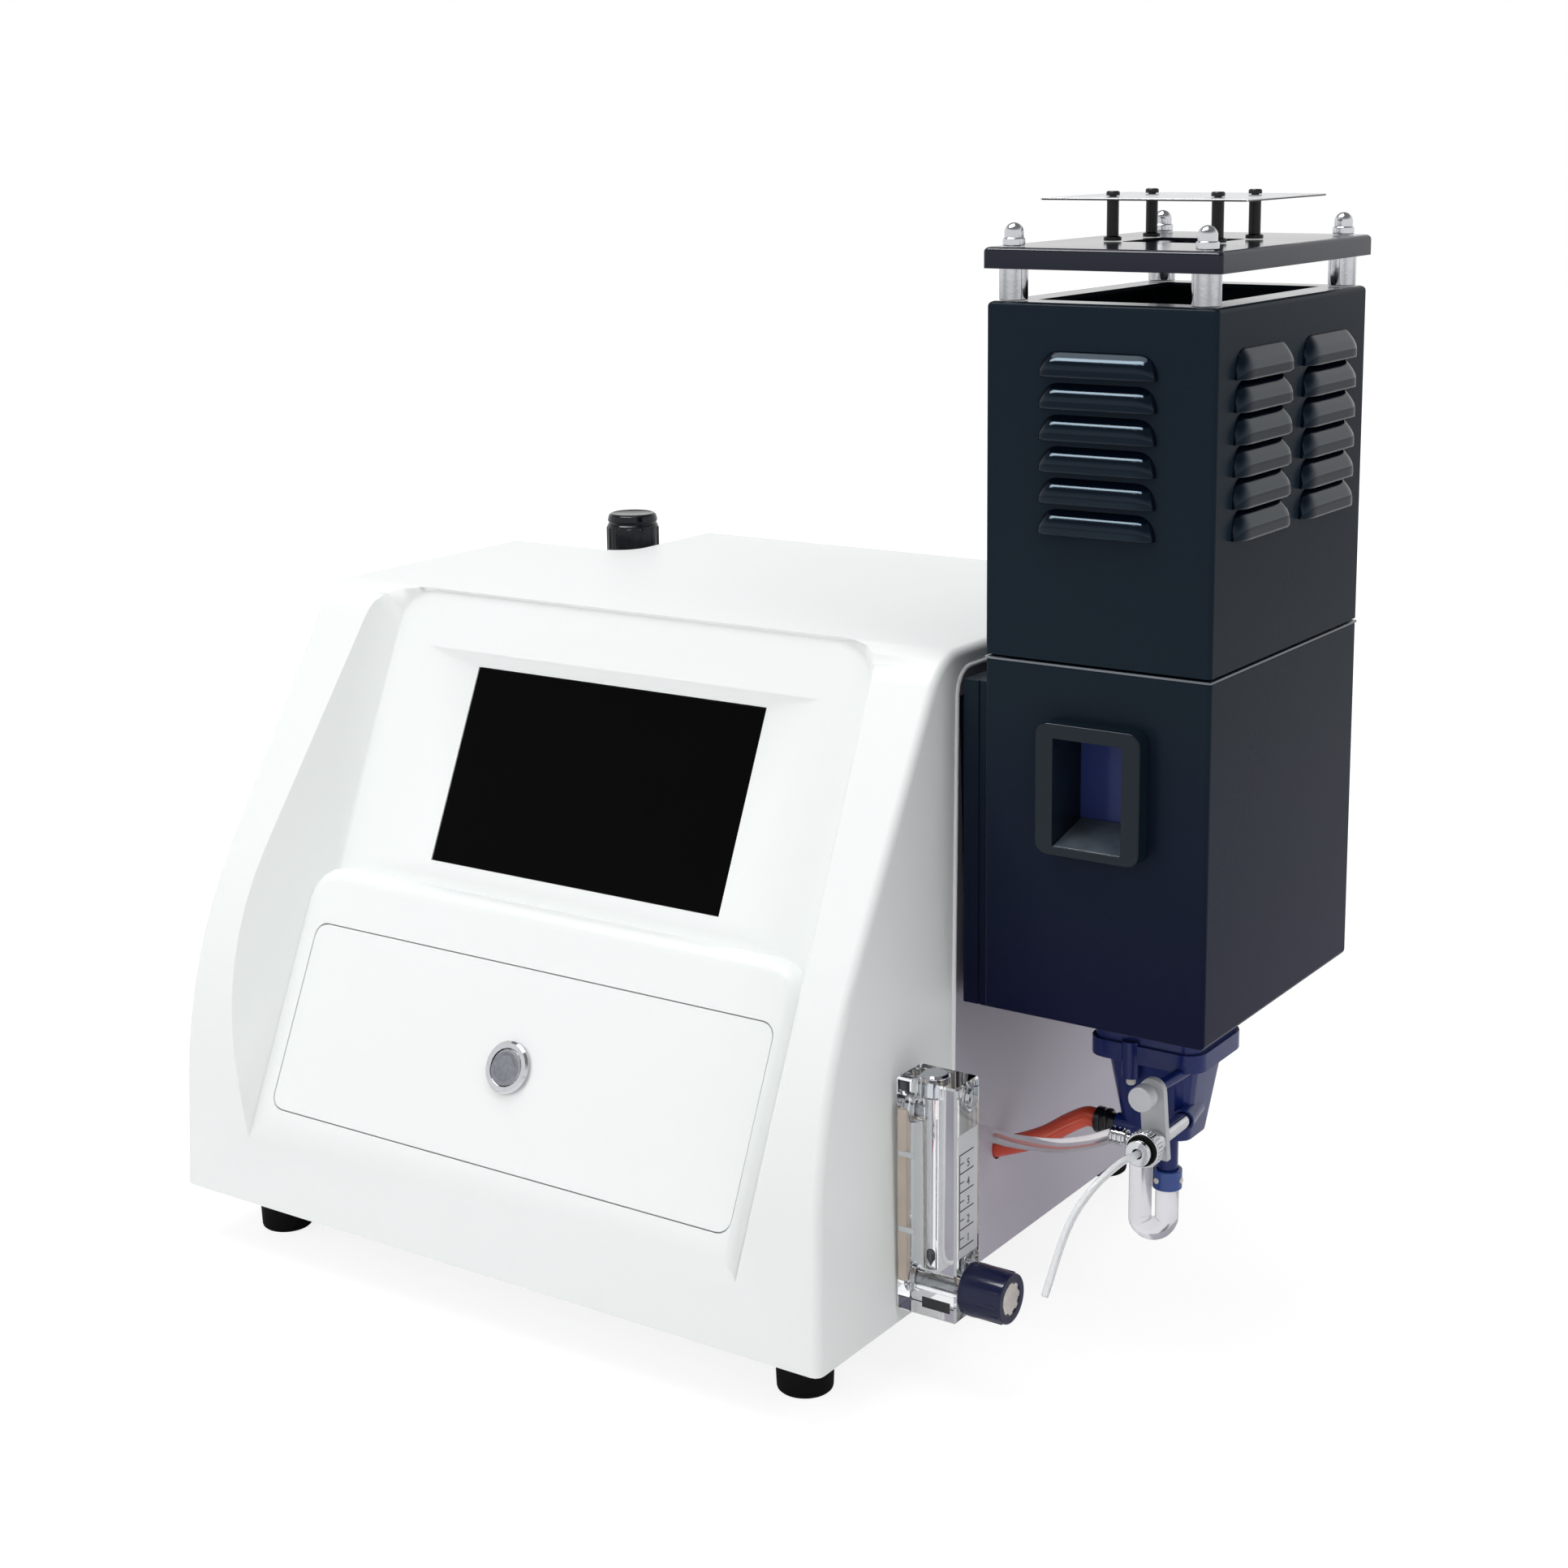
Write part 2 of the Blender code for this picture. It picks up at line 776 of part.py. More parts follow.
def side_opening(grow):
    """Outline of the opening in the housing's right side, before its front edge is slanted."""
    return rounded_rectangle((side_opening_front - grow, side_opening_foot - grow),
                             (housing_depth - side_opening_rear + grow, side_opening_top + grow),
                             side_opening_corner + grow)


def slanted(point):
    """Lean the front edge of the side opening to the rear."""
    share = 1 - (point.y - side_opening_front) / (housing_depth - side_opening_rear - side_opening_front)
    return Vector((point.x, point.y + side_opening_slant * share * point.z, point.z))


def housing_cover():
    """One moulded shell: rounded body, rear notch, display recess, ridge, pocket and openings."""
    cover = prism("housing_cover", housing_outline(0), -housing_width, 0, "X", white, datum, tapered)
    notch = prism("notch_tool", notch_outline(0), -overrun * 2, housing_height + overrun, "Z")
    cut(cover, notch)
    soften(cover, edge_radius, 3)

    cavity = prism("cavity_tool", housing_outline(housing_wall), housing_wall - housing_width, -housing_wall,
                   "X", None, datum, tapered)
    cut(cavity, prism("notch_wall_tool", notch_outline(housing_wall), -overrun * 2,
                      housing_height + overrun, "Z"))
    cut(cavity, recess_tool("recess_wall_tool", housing_wall))
    cut(cavity, block("pocket_wall_tool",
                      (-screen_width / 2 - pocket_side_run, -pocket_foot_run, -pocket_depth - housing_wall),
                      (screen_width / 2 + pocket_side_run, screen_height + pocket_top_run, overrun),
                      None, face))
    cut(cavity, block("seat_wall_tool",
                      (insert_offset - insert_width / 2 - housing_wall,
                       insert_middle - insert_height / 2 - housing_wall,
                       panel_rise - insert_thickness - insert_seat_gap - housing_wall),
                      (insert_offset + insert_width / 2 + housing_wall,
                       insert_middle + insert_height / 2 + housing_wall, panel_rise + overrun), None, face))
    cut(cover, recess_tool("recess_tool", 0))
    cut(cover, display_pocket())
    seat = rounded_rectangle(*about(insert_offset, insert_middle, insert_width / 2 + insert_seat_gap,
                                    insert_height / 2 + insert_seat_gap), insert_corner)
    seat_floor = panel_rise - insert_thickness - insert_seat_gap
    cut(cover, prism("seat_tool", seat, seat_floor, panel_rise + overrun, "Z", None, face))
    cut(cover, cavity)
    cut(cover, block("floor_tool", (-housing_width - overrun, -overrun, -overrun * 3),
                     (overrun, housing_depth + overrun, 0)))
    cut(cover, block("screen_opening_tool", (-screen_width / 2, 0, -pocket_depth - housing_wall - overrun),
                     (screen_width / 2, screen_height, 0), None, face))
    cut(cover, rod("button_hole_tool", (insert_offset, insert_middle, seat_floor - housing_wall - overrun),
                   (insert_offset, insert_middle, panel_rise + overrun), button_hole_radius, None, None,
                   face))
    rear = [(notch_width - housing_width + housing_wall + rear_rim, rear_foot_rim),
            (-housing_wall - rear_rim, housing_height - housing_wall - rear_rim)]
    cut(cover, block("rear_opening_tool", (rear[0][0], housing_depth - housing_wall - overrun, rear[0][1]),
                     (rear[1][0], housing_depth + overrun, rear[1][1])))
    cut(cover, prism("side_opening_tool", side_opening(0), -housing_wall - overrun / 2, overrun, "X", None,
                     side,
                     slanted))
    for name, z in (("valve", valve_z), ("outlet", outlet_z)):
        cut(cover, rod(name + "_passage_tool", (-housing_wall * 4, meter_front + meter_depth / 2, z),
                       (overrun, meter_front + meter_depth / 2, z), valve_radius + gap))
    return cover


def chassis():
    """Base, side and rear plates, and the four feet."""
    left = -housing_width + housing_wall + base_margin
    right = -housing_wall - base_margin
    front = housing_wall + base_margin
    rear = housing_depth - housing_wall - base_margin - plate_thickness
    notch_x = notch_width - housing_width + housing_wall + base_margin
    notch_y = housing_depth - notch_depth - housing_wall - base_margin
    outline = [(left, front), (right, front), (right, rear), (notch_x, rear), (notch_x, notch_y),
               (left, notch_y)]
    prism("base_plate", outline, base_height, base_height + plate_thickness, "Z", steel)

    outer = -housing_wall - gap
    panel = prism("side_panel", side_opening(panel_lap), outer - plate_thickness, outer, "X", white, side,
                  slanted)
    join(panel, prism("raised_panel_tool", side_opening(-gap), outer - gap, -panel_setback, "X", None, side,
                      slanted))
    cut(panel, prism("panel_back_tool", side_opening(-plate_thickness), outer - plate_thickness - overrun,
                     -panel_setback - plate_thickness, "X", None, side, slanted))
    duct_low = (duct_front + duct_neck_inset - gap, duct_foot + duct_neck_inset - gap)
    duct_high = (duct_rear - duct_neck_inset + gap, duct_top - duct_neck_inset + gap)
    cut(panel, block("duct_opening_tool", (-overrun * 4, *duct_low), (overrun, *duct_high)))
    cut(panel, rod("gas_hole_tool", (gas_x + (gas_x - gas_turn_x), gas_y, gas_z + (gas_z - gas_turn_z)),
                  (gas_turn_x, gas_y, gas_turn_z), gas_hole_radius))
    cut(panel, rod("air_hole_tool", (-overrun * 3, air_y, air_z), (overrun, air_y, air_z), air_hole_radius))

    rear_x = (notch_width - housing_width + housing_wall + rear_rim - rear_lap,
              -housing_wall - rear_rim + rear_lap)
    rear_z = (rear_foot_rim - rear_lap, housing_height - housing_wall - rear_rim + rear_lap)
    face_y = housing_depth - housing_wall - gap
    back = block("rear_panel", (rear_x[0], face_y - plate_thickness, rear_z[0]),
                 (rear_x[1], face_y, rear_z[1]), steel)
    cut(back, block("inlet_hole_tool", (inlet_x - inlet_width / 2 + inlet_flange - gap, face_y - overrun,
                                        inlet_z - inlet_height / 2 + inlet_flange - gap),
                    (inlet_x + inlet_width / 2 - inlet_flange + gap, face_y + overrun,
                     inlet_z + inlet_height / 2 - inlet_flange + gap)))
    cut(back, rod("gas_inlet_hole_tool", (gas_inlet_x, face_y - overrun, gas_inlet_z),
                  (gas_inlet_x, face_y + overrun, gas_inlet_z), gas_inlet_radius + gap))
    for row in range(vent_rows):
        low, high = about(vent_x, vent_z + row * vent_pitch, vent_width / 2, vent_height / 2)
        cut(back, prism("vent_tool_%d" % row, rounded_rectangle(low, high, vent_height / 2 - gap),
                        face_y - overrun, face_y + overrun, "Y"))

    places = {"front_right": (-foot_inset_x, foot_inset_front),
              "front_left": (foot_inset_x - housing_width, foot_inset_front),
              "rear_right": (-foot_inset_x, housing_depth - foot_inset_rear),
              "rear_left": (foot_inset_x - housing_width, notch_y - foot_inset_rear)}
    for name, (x, y) in places.items():
        profile = [(0, base_height - gap), (foot_radius, base_height - gap), (foot_radius, 0),
                   (foot_tip_radius, foot_round - foot_reach), (foot_tip_radius - foot_round, -foot_reach),
                   (0, -foot_reach)]
        turned("foot_" + name, profile, (x, y, 0), (0, 0, 1), rubber, datum, coarse_steps)


def display():
    """Touch glass in the housing's opening, and the module behind it."""
    front = -pocket_depth - gap
    back = -pocket_depth - housing_wall
    block("touch_glass", (-screen_width / 2 + gap, gap, back),
          (screen_width / 2 - gap, screen_height - gap, front),
          glass_black, face)
    block("display_module", (-screen_width / 2 - module_border, -module_border / 2,
                             back - gap - module_thickness),
          (screen_width / 2 + module_border, screen_height + module_border / 2, back - gap), grey, face)


def insert_and_button():
    """Flush plate in the lower panel, and the ringed push button through it."""
    seat_floor = panel_rise - insert_thickness - insert_seat_gap
    top = seat_floor + gap + insert_thickness
    corners = about(insert_offset, insert_middle, insert_width / 2, insert_height / 2)
    plate = prism("insert_plate", rounded_rectangle(*corners, insert_corner), seat_floor + gap, top, "Z",
                  white,
                  face)
    cut(plate, rod("insert_hole_tool", (insert_offset, insert_middle, seat_floor - overrun),
                   (insert_offset, insert_middle, top + overrun), button_hole_radius, None, None, face))

    ring_foot = top + gap
    tail = ring_foot - button_length
    barrel = button_hole_radius - gap
    well = ring_foot - button_travel - gap * 3
    nut_top = seat_floor - housing_wall - gap
    profile = [(cap_radius + gap, ring_foot + bezel_height),
               (bezel_radius - bezel_chamfer, ring_foot + bezel_height),
               (bezel_radius, ring_foot + bezel_height - bezel_chamfer), (bezel_radius, ring_foot),
               (barrel, ring_foot), (barrel, nut_top), (button_nut_radius, nut_top),
               (button_nut_radius, nut_top - button_nut_height), (barrel, nut_top - button_nut_height),
               (barrel, tail), (cap_stem_radius + gap, tail), (cap_stem_radius + gap, well),
               (cap_radius + gap, well), (cap_radius + gap, ring_foot + bezel_height)]
    turned("button_bezel", profile, (insert_offset, insert_middle, 0), (0, 0, 1), bright, face)
    cap_top = ring_foot + bezel_height - bezel_chamfer / 2
    profile = [(0, cap_top), (cap_radius, cap_top), (cap_radius, cap_top - cap_height),
               (cap_stem_radius, cap_top - cap_height), (cap_stem_radius, tail + button_travel + gap * 2),
               (0, tail + button_travel + gap * 2)]
    turned("button_cap", profile, (insert_offset, insert_middle, 0), (0, 0, 1), steel, face)


def louvre_tool(name, x, y, foot_z, outward, shrink):
    """A half capsule that bulges from a wall: straight in the middle, round at its ends, open below."""
    bm = bmesh.new()
    bmesh.ops.create_uvsphere(bm, u_segments=louvre_round_steps, v_segments=louvre_arc_steps, radius=1)
    end = louvre_height - shrink
    middle = louvre_length / 2 - louvre_height
    rise = louvre_bulge - shrink
    for vert in bm.verts:
        vert.co = Vector((vert.co.x * end + math.copysign(middle, vert.co.x), vert.co.y * rise,
                          vert.co.z * end))
    foot = -shrink if shrink else 0
    edge = bmesh.ops.bisect_plane(bm, geom=bm.verts[:] + bm.edges[:] + bm.faces[:], plane_co=(0, 0, foot),
                                  plane_no=(0, 0, -1), clear_outer=True)
    bmesh.ops.contextual_create(bm, geom=[item for item in edge["geom_cut"] if isinstance(item,
            bmesh.types.BMEdge)])
    tool = add(name, mesh_from(bm, name), None, datum, (x, y, foot_z))
    tool.rotation_euler = (0, 0, math.atan2(outward[0], -outward[1]))
    return tool


def press_louvres(wall_piece):
    """Rows of louvres in the front and right walls."""
    right = chimney_standoff + chimney_width
    columns = [("front", chimney_x, chimney_front, (0, -1)),
               ("right_near", right, chimney_y - louvre_columns_offset, (1, 0)),
               ("right_far", right, chimney_y + louvre_columns_offset, (1, 0))]
    for label, x, y, outward in columns:
        for row in range(louvre_rows):
            z = louvre_foot_z + row * louvre_pitch
            join(wall_piece, louvre_tool("hood_%s_%d" % (label, row), x, y, z, outward, 0))
            cut(wall_piece, louvre_tool("slot_%s_%d" % (label, row), x - outward[0] * louvre_wall / 4,
                                        y - outward[1] * louvre_wall / 4, z, outward, louvre_wall))


def chimney_box(name, low_z, high_z):
    """The outer body of one chimney section."""
    return block(name, (chimney_standoff, chimney_front, low_z),
                 (chimney_standoff + chimney_width, chimney_front + chimney_depth, high_z), black_coat)


def chimney_hollow(name, low_z, high_z):
    """The space inside the sheet metal."""
    return block(name, (chimney_standoff + chimney_sheet, chimney_front + chimney_sheet, low_z),
                 (chimney_standoff + chimney_width - chimney_sheet,
                  chimney_front + chimney_depth - chimney_sheet,
                  high_z))


def lower_chimney():
    """Sheet metal box round the flame, with its window, burner hole and port to the optics."""
    box = soften(chimney_box("lower_chimney", chimney_base, chimney_seam - gap), chimney_edge, 2)
    cut(box, chimney_hollow("lower_hollow_tool", chimney_base + chimney_sheet, chimney_seam + overrun))
    cut(box, rod("burner_hole_tool", (burner_x, burner_y, chimney_base - overrun),
                 (burner_x, burner_y, chimney_base + overrun), burner_hole_radius))
    half_x = window_width / 2 - window_side_border + window_sleeve_wall + gap
    low_z = window_z - window_height / 2 + window_foot_border - window_sleeve_wall - gap
    high_z = window_z + window_height / 2 - window_top_border + window_sleeve_wall + gap
    cut(box, block("window_hole_tool", (window_x - half_x, chimney_front - overrun, low_z),
                   (window_x + half_x, chimney_front + overrun, high_z)))
    half_y, half_z = duct_port_width / 2, duct_port_height / 2
    cut(box, block("light_port_tool", (chimney_standoff - overrun, chimney_y - half_y, duct_port_z - half_z),
                   (chimney_standoff + overrun, chimney_y + half_y, duct_port_z + half_z)))


def mount_duct():
    """Frame that carries the chimney and lets the flame's light into the housing."""
    right = chimney_standoff - gap
    neck_low = (duct_front + duct_neck_inset, duct_foot + duct_neck_inset)
    neck_high = (duct_rear - duct_neck_inset, duct_top - duct_neck_inset)
    duct = block("mount_duct", (duct_left, duct_front, duct_foot), (right, duct_rear, duct_top), black_coat)
    cut(duct, block("duct_groove_tool", (duct_groove_x, duct_front - overrun, duct_foot - overrun),
                    (duct_groove_x + duct_groove, duct_front + duct_groove, duct_top + overrun)))
    join(duct, block("duct_neck_tool", (-duct_depth, *neck_low), (duct_left + gap, *neck_high)))
    join(duct, block("duct_flange_tool",
                     (-duct_depth - chimney_sheet, neck_low[0] - duct_flange, neck_low[1] - duct_flange),
                     (-duct_depth + gap, neck_high[0] + duct_flange, neck_high[1] + duct_flange)))
    half_y, half_z = duct_port_width / 2, duct_port_height / 2
    cut(duct, block("duct_bore_tool", (-duct_depth - overrun, chimney_y - half_y, duct_port_z - half_z),
                    (chimney_standoff + overrun, chimney_y + half_y, duct_port_z + half_z)))
    inner = right - chimney_sheet
    spans = {"front": (neck_low[0] + duct_wall, chimney_y - half_y - duct_wall),
             "rear": (chimney_y + half_y + duct_wall, neck_high[0] - duct_wall)}
    for name, (low_y, high_y) in spans.items():
        cut(duct, block("duct_%s_pocket_tool" % name, (-duct_depth - overrun, low_y, neck_low[1] + duct_wall),
                        (inner, high_y, neck_high[1] - duct_wall)))


def upper_chimney():
    """Lift-off section with louvres and an in-turned rim."""
    box = soften(chimney_box("upper_chimney", chimney_seam + gap, chimney_top), chimney_edge, 2)
    cut(box, chimney_hollow("upper_hollow_tool", chimney_seam - overrun, chimney_top - chimney_sheet))
    rim = rim_width
    cut(box, block("rim_opening_tool", (chimney_standoff + rim, chimney_front + rim, chimney_top - overrun),
                   (chimney_standoff + chimney_width - rim, chimney_front + chimney_depth - rim,
                    chimney_top + overrun)))
    press_louvres(box)


def lid_and_deflector():
    """Tray lid on four posts with domed nuts, and the thin deflector over its hole."""
    half_x, half_y = lid_width / 2, lid_depth / 2
    lid = block("chimney_lid", (chimney_x - half_x, chimney_y - half_y, lid_underside),
                (chimney_x + half_x, chimney_y + half_y, lid_top), black_coat)
    soften(lid, lid_edge, 2)
    cut(lid, block("lid_hollow_tool", (chimney_x - half_x + lid_sheet, chimney_y - half_y + lid_sheet,
                                       lid_underside - overrun),
                   (chimney_x + half_x - lid_sheet, chimney_y + half_y - lid_sheet, lid_top - lid_sheet)))
    cut(lid, block("lid_hole_tool", (chimney_x - lid_hole / 2, chimney_y - lid_hole / 2, lid_underside),
                   (chimney_x + lid_hole / 2, chimney_y + lid_hole / 2, lid_top + overrun)))
    deflector = block("deflector_plate", (chimney_x - deflector_width / 2, chimney_y - deflector_depth / 2,
                                          deflector_z),
                      (chimney_x + deflector_width / 2, chimney_y + deflector_depth / 2,
                       deflector_z + deflector_thickness), steel)
    corners = {"front_left": (-1, -1), "front_right": (1, -1), "rear_left": (-1, 1), "rear_right": (1, 1)}
    for label, (sx, sy) in corners.items():
        x, y = chimney_x + sx * post_offset_x, chimney_y + sy * post_offset_y
        cut(lid, rod("stud_hole_tool_" + label, (x, y, lid_underside), (x, y, lid_top + overrun),
                     stud_radius + gap))
        shoulder = lid_top - lid_sheet - gap
        tip = lid_top + stud_reach
        foot = chimney_top + gap
        turned("lid_post_" + label, [(0, tip), (stud_radius, tip), (stud_radius, shoulder),
                                     (post_radius, shoulder),
                                     (post_radius, foot), (0, foot)], (x, y, 0), (0, 0, 1), aluminium, datum,
               coarse_steps)
        seat = lid_top + gap
        dome = nut_radius - gap
        profile = [(dome * math.sin(a), seat + nut_height - dome + dome * math.cos(a))
                   for a in (0, math.pi / 8, math.pi / 4, math.pi * 3 / 8, math.pi / 2)]
        profile += [(dome, seat + nut_collar), (nut_radius, seat + nut_collar), (nut_radius, seat),
                    (stud_radius + gap, seat), (stud_radius + gap, tip + gap), (0, tip + gap)]
        turned("dome_nut_" + label, profile, (x, y, 0), (0, 0, 1), bright, datum, coarse_steps)
        x, y = chimney_x + sx * spacer_offset_x, chimney_y + sy * spacer_offset_y
        pin_top = deflector_z + deflector_thickness + gap
        cut(deflector, rod("pin_hole_tool_" + label, (x, y, deflector_z - overrun),
                           (x, y, deflector_z + overrun),
                           spacer_pin_radius + gap))
        foot = lid_top + gap
        profile = [(0, pin_top + spacer_cap_height),
                   (spacer_cap_radius - gap * 2, pin_top + spacer_cap_height),
                   (spacer_cap_radius, pin_top + spacer_cap_height - gap * 2), (spacer_cap_radius, pin_top),
                   (spacer_pin_radius, pin_top), (spacer_pin_radius, deflector_z - gap),
                   (spacer_radius, deflector_z - gap), (spacer_radius, foot + spacer_foot_height),
                   (spacer_foot_radius, foot + spacer_foot_height), (spacer_foot_radius, foot), (0, foot)]
        turned("deflector_spacer_" + label, profile, (x, y, 0), (0, 0, 1), black_plastic, datum, coarse_steps)


def viewing_window():
    """Deep black frame with a sloping sill, and its cobalt glass."""
    low, high = about(window_x, window_z, window_width / 2, window_height / 2)
    wall_face = chimney_front - gap
    frame = prism("window_frame", rounded_rectangle(low, high, window_corner), wall_face - window_rise,
                  wall_face,
                  "Y", black_plastic)
    soften(frame, window_edge, 2, math.radians(60))
    opening_low = (low[0] + window_side_border, low[1] + window_foot_border)
    opening_high = (high[0] - window_side_border, high[1] - window_top_border)
    back = chimney_front + window_reach
    join(frame, block("sleeve_tool", (opening_low[0] - window_sleeve_wall, wall_face - window_rise / 2,
                                      opening_low[1] - window_sleeve_wall),
                      (opening_high[0] + window_sleeve_wall, back, opening_high[1] + window_sleeve_wall)))
    glass_y = chimney_front + window_glass_setback

    def sloped(point):
        deep = (point.y - (wall_face - window_rise)) / (glass_y - wall_face + window_rise)
        if point.z < window_z:
            return Vector((point.x, point.y, opening_low[1] + window_sill * deep))
        return Vector((point.x, point.y, opening_high[1] - window_lintel * deep))
    front_y = wall_face - window_rise - overrun
    outline = [(opening_low[0], opening_low[1]), (opening_high[0], opening_low[1]),
               (opening_high[0], opening_high[1]), (opening_low[0], opening_high[1])]
    cut(frame, prism("sloped_opening_tool", outline, front_y, glass_y, "Y", None, datum, sloped))
    glass_low = (opening_low[0] - window_sleeve_wall / 2,
                 opening_low[1] + window_sill - window_sleeve_wall / 2)
    glass_high = (opening_high[0] + window_sleeve_wall / 2,
                  opening_high[1] - window_lintel + window_sleeve_wall / 2)
    cut(frame, block("glass_seat_tool", (glass_low[0] - gap, glass_y, glass_low[1] - gap),
                     (glass_high[0] + gap, back + overrun, glass_high[1] + gap)))
    block("window_glass", (glass_low[0], glass_y + gap, glass_low[1]),
          (glass_high[0], glass_y + gap + window_glass_thickness, glass_high[1]), cobalt)


def mixing_chamber():
    """Blue moulded spray chamber: flange, tapered body, bosses and drain spout."""
    half = (flange_width / 2, flange_depth / 2)
    top = chimney_base - gap
    lip_top = flange_foot_z + flange_lip_height
    low, high = about(burner_x, burner_y, half[0] - flange_lip, half[1] - flange_lip)
    chamber = prism("mixing_chamber", rounded_rectangle(low, high, flange_corner - flange_lip),
                    flange_foot_z, top,
                    "Z", blue)
    low, high = about(burner_x, burner_y, *half)
    join(chamber, prism("lip_tool", rounded_rectangle(low, high, flange_corner), flange_foot_z - gap,
                        lip_top, "Z"))

    def taper(point):
        up = (point.z - chamber_foot_z) / (flange_foot_z - chamber_foot_z)
        across = 1 - (1 - chamber_foot_width / chamber_top_width) * (1 - up)
        along = 1 - (1 - chamber_foot_depth / chamber_top_depth) * (1 - up)
        return Vector((burner_x + (point.x - burner_x) * across, burner_y + (point.y - burner_y) * along,
                       point.z))
    low, high = about(burner_x, burner_y, chamber_top_width / 2, chamber_top_depth / 2)
    join(chamber, prism("chamber_tool", rounded_rectangle(low, high, chamber_corner), chamber_foot_z,
                        flange_foot_z + flange_lip, "Z", None, datum, taper))
    join(chamber, rod("pillar_tool", (pillar_x, pillar_y, pillar_foot_z),
                      (pillar_x, pillar_y, lip_top + flange_lip),
                      pillar_radius))
    join(chamber, rod("nebuliser_boss_tool", (nebuliser_x, nebuliser_boss_front, nebuliser_z),
                      (nebuliser_x - nebuliser_radius, burner_y, nebuliser_z), nebuliser_boss_radius))
    join(chamber, rod("clamp_arm_tool", (clamp_x, clamp_front + clamp_thickness + clamp_arm_radius / 2,
                                         clamp_z),
                      (clamp_x + clamp_arm_spread, burner_y, clamp_z + clamp_arm_rise), clamp_arm_radius))
    join(chamber, rod("port_tool", (port_face_x, port_y, port_z), (burner_x, port_y, port_z), port_radius))
    join(chamber, rod("spout_tool", (spout_x, spout_y, spout_foot_z),
                      (spout_x, spout_y, chamber_foot_z + flange_lip),
                      spout_radius))
    cut(chamber, rod("nebuliser_socket_tool", (nebuliser_x, nebuliser_boss_front - overrun, nebuliser_z),
                     (nebuliser_x, nebuliser_boss_front + nebuliser_boss_radius, nebuliser_z),
                     nebuliser_radius + gap))
    cut(chamber, rod("clamp_thread_tool", (clamp_x, clamp_front, clamp_z),
                     (clamp_x, clamp_front + clamp_thickness + gap + clamp_screw_reach + gap, clamp_z),
                     clamp_screw_radius + gap))
    cut(chamber, rod("head_socket_tool", (burner_x, burner_y, chimney_base - head_neck_height),
                     (burner_x, burner_y, chimney_base + overrun), head_neck_radius + gap))


def burner_head():
    """Steel burner head over the chamber, and the igniter beside it."""
    foot = chimney_base - head_neck_height + gap
    shoulder = chimney_base + chimney_sheet * 2
    top = shoulder + head_height
    profile = [(head_bore_radius, top), (head_radius - chimney_sheet, top),
               (head_radius, top - chimney_sheet),
               (head_radius, shoulder), (head_neck_radius, shoulder), (head_neck_radius, foot),
               (head_bore_radius, foot), (head_bore_radius, top)]
    turned("burner_head", profile, (burner_x, burner_y, 0), (0, 0, 1), steel)
    x, foot = burner_x - igniter_offset, chimney_base + chimney_sheet + gap
    tip = foot + igniter_height
    igniter = rod("igniter", (x, burner_y, foot), (x, burner_y, tip), igniter_radius, grey)
    join(igniter, rod("igniter_wire_tool", (x, burner_y, tip - igniter_wire_radius * 3),
                      (x + igniter_wire_reach, burner_y, tip + igniter_wire_reach / 2), igniter_wire_radius))


def nebuliser():
    """Chrome nebuliser body with its air barb, knurled nut, clamp plate and clamp knob."""
    axis = (nebuliser_x, nebuliser_z)
    rear = nebuliser_boss_front + nebuliser_boss_radius - gap
    body = rod("nebuliser_body", (axis[0], nebuliser_front, axis[1]), (axis[0], rear, axis[1]),
               nebuliser_radius, bright)
    join(body, rod("collar_tool", (axis[0], nebuliser_front, axis[1]),
                   (axis[0], nebuliser_front + nebuliser_collar_length, axis[1]), nebuliser_collar_radius))
    barb_y = nebuliser_front + nebuliser_collar_length / 2
    join(body, rod("barb_tool", (axis[0] - nebuliser_collar_radius - barb_length, barb_y, axis[1]),
                   (axis[0], barb_y, axis[1]), barb_radius))
    nut_rear = nebuliser_front - gap
    profile = [(capillary_bore_radius, 0), (knurl_neck_radius, 0), (knurl_neck_radius, -knurl_neck_length),
               (knurl_radius, -knurl_neck_length), (knurl_radius, nut_front - nut_rear),
               (capillary_bore_radius, nut_front - nut_rear), (capillary_bore_radius, 0)]
    nut = turned("nebuliser_nut", profile, (axis[0], nut_front, axis[1]), (0, -1, 0), bright)
    for i in range(knurl_grooves):
        angle = 2 * math.pi * i / knurl_grooves
        x, z = axis[0] + knurl_radius * math.cos(angle), axis[1] + knurl_radius * math.sin(angle)
        cut(nut, rod("knurl_tool_%d" % i, (x, nut_front - overrun, z), (x, nut_rear + overrun, z),
                     knurl_groove_radius, None, None, datum, hex_sides))

    outline = (arc(clamp_x, clamp_z, clamp_end_radius, 0, math.pi, clamp_arc_steps)
               + [(axis[0] - clamp_end_radius, clamp_foot_z), (axis[0] + clamp_end_radius, clamp_foot_z)])
    plate = prism("clamp_plate", outline, clamp_front, clamp_front + clamp_thickness, "Y", grey)
    for name, x, z, radius in (("neb", *axis, nebuliser_radius),
                               ("screw", clamp_x, clamp_z, clamp_screw_radius)):
        cut(plate, rod("clamp_%s_hole_tool" % name, (x, clamp_front - overrun, z),
                       (x, clamp_front + clamp_thickness + overrun, z), radius + gap))
    reach = clamp_front + clamp_thickness + clamp_screw_reach
    profile = [(0, 0), (clamp_knob_radius - gap, 0), (clamp_knob_radius, -gap),
               (clamp_knob_radius, -clamp_knob_length), (clamp_screw_radius, -clamp_knob_length),
               (clamp_screw_radius, clamp_knob_front - reach), (0, clamp_knob_front - reach)]
    turned("clamp_knob", profile, (clamp_x, clamp_knob_front, clamp_z), (0, -1, 0), grey, datum, coarse_steps)


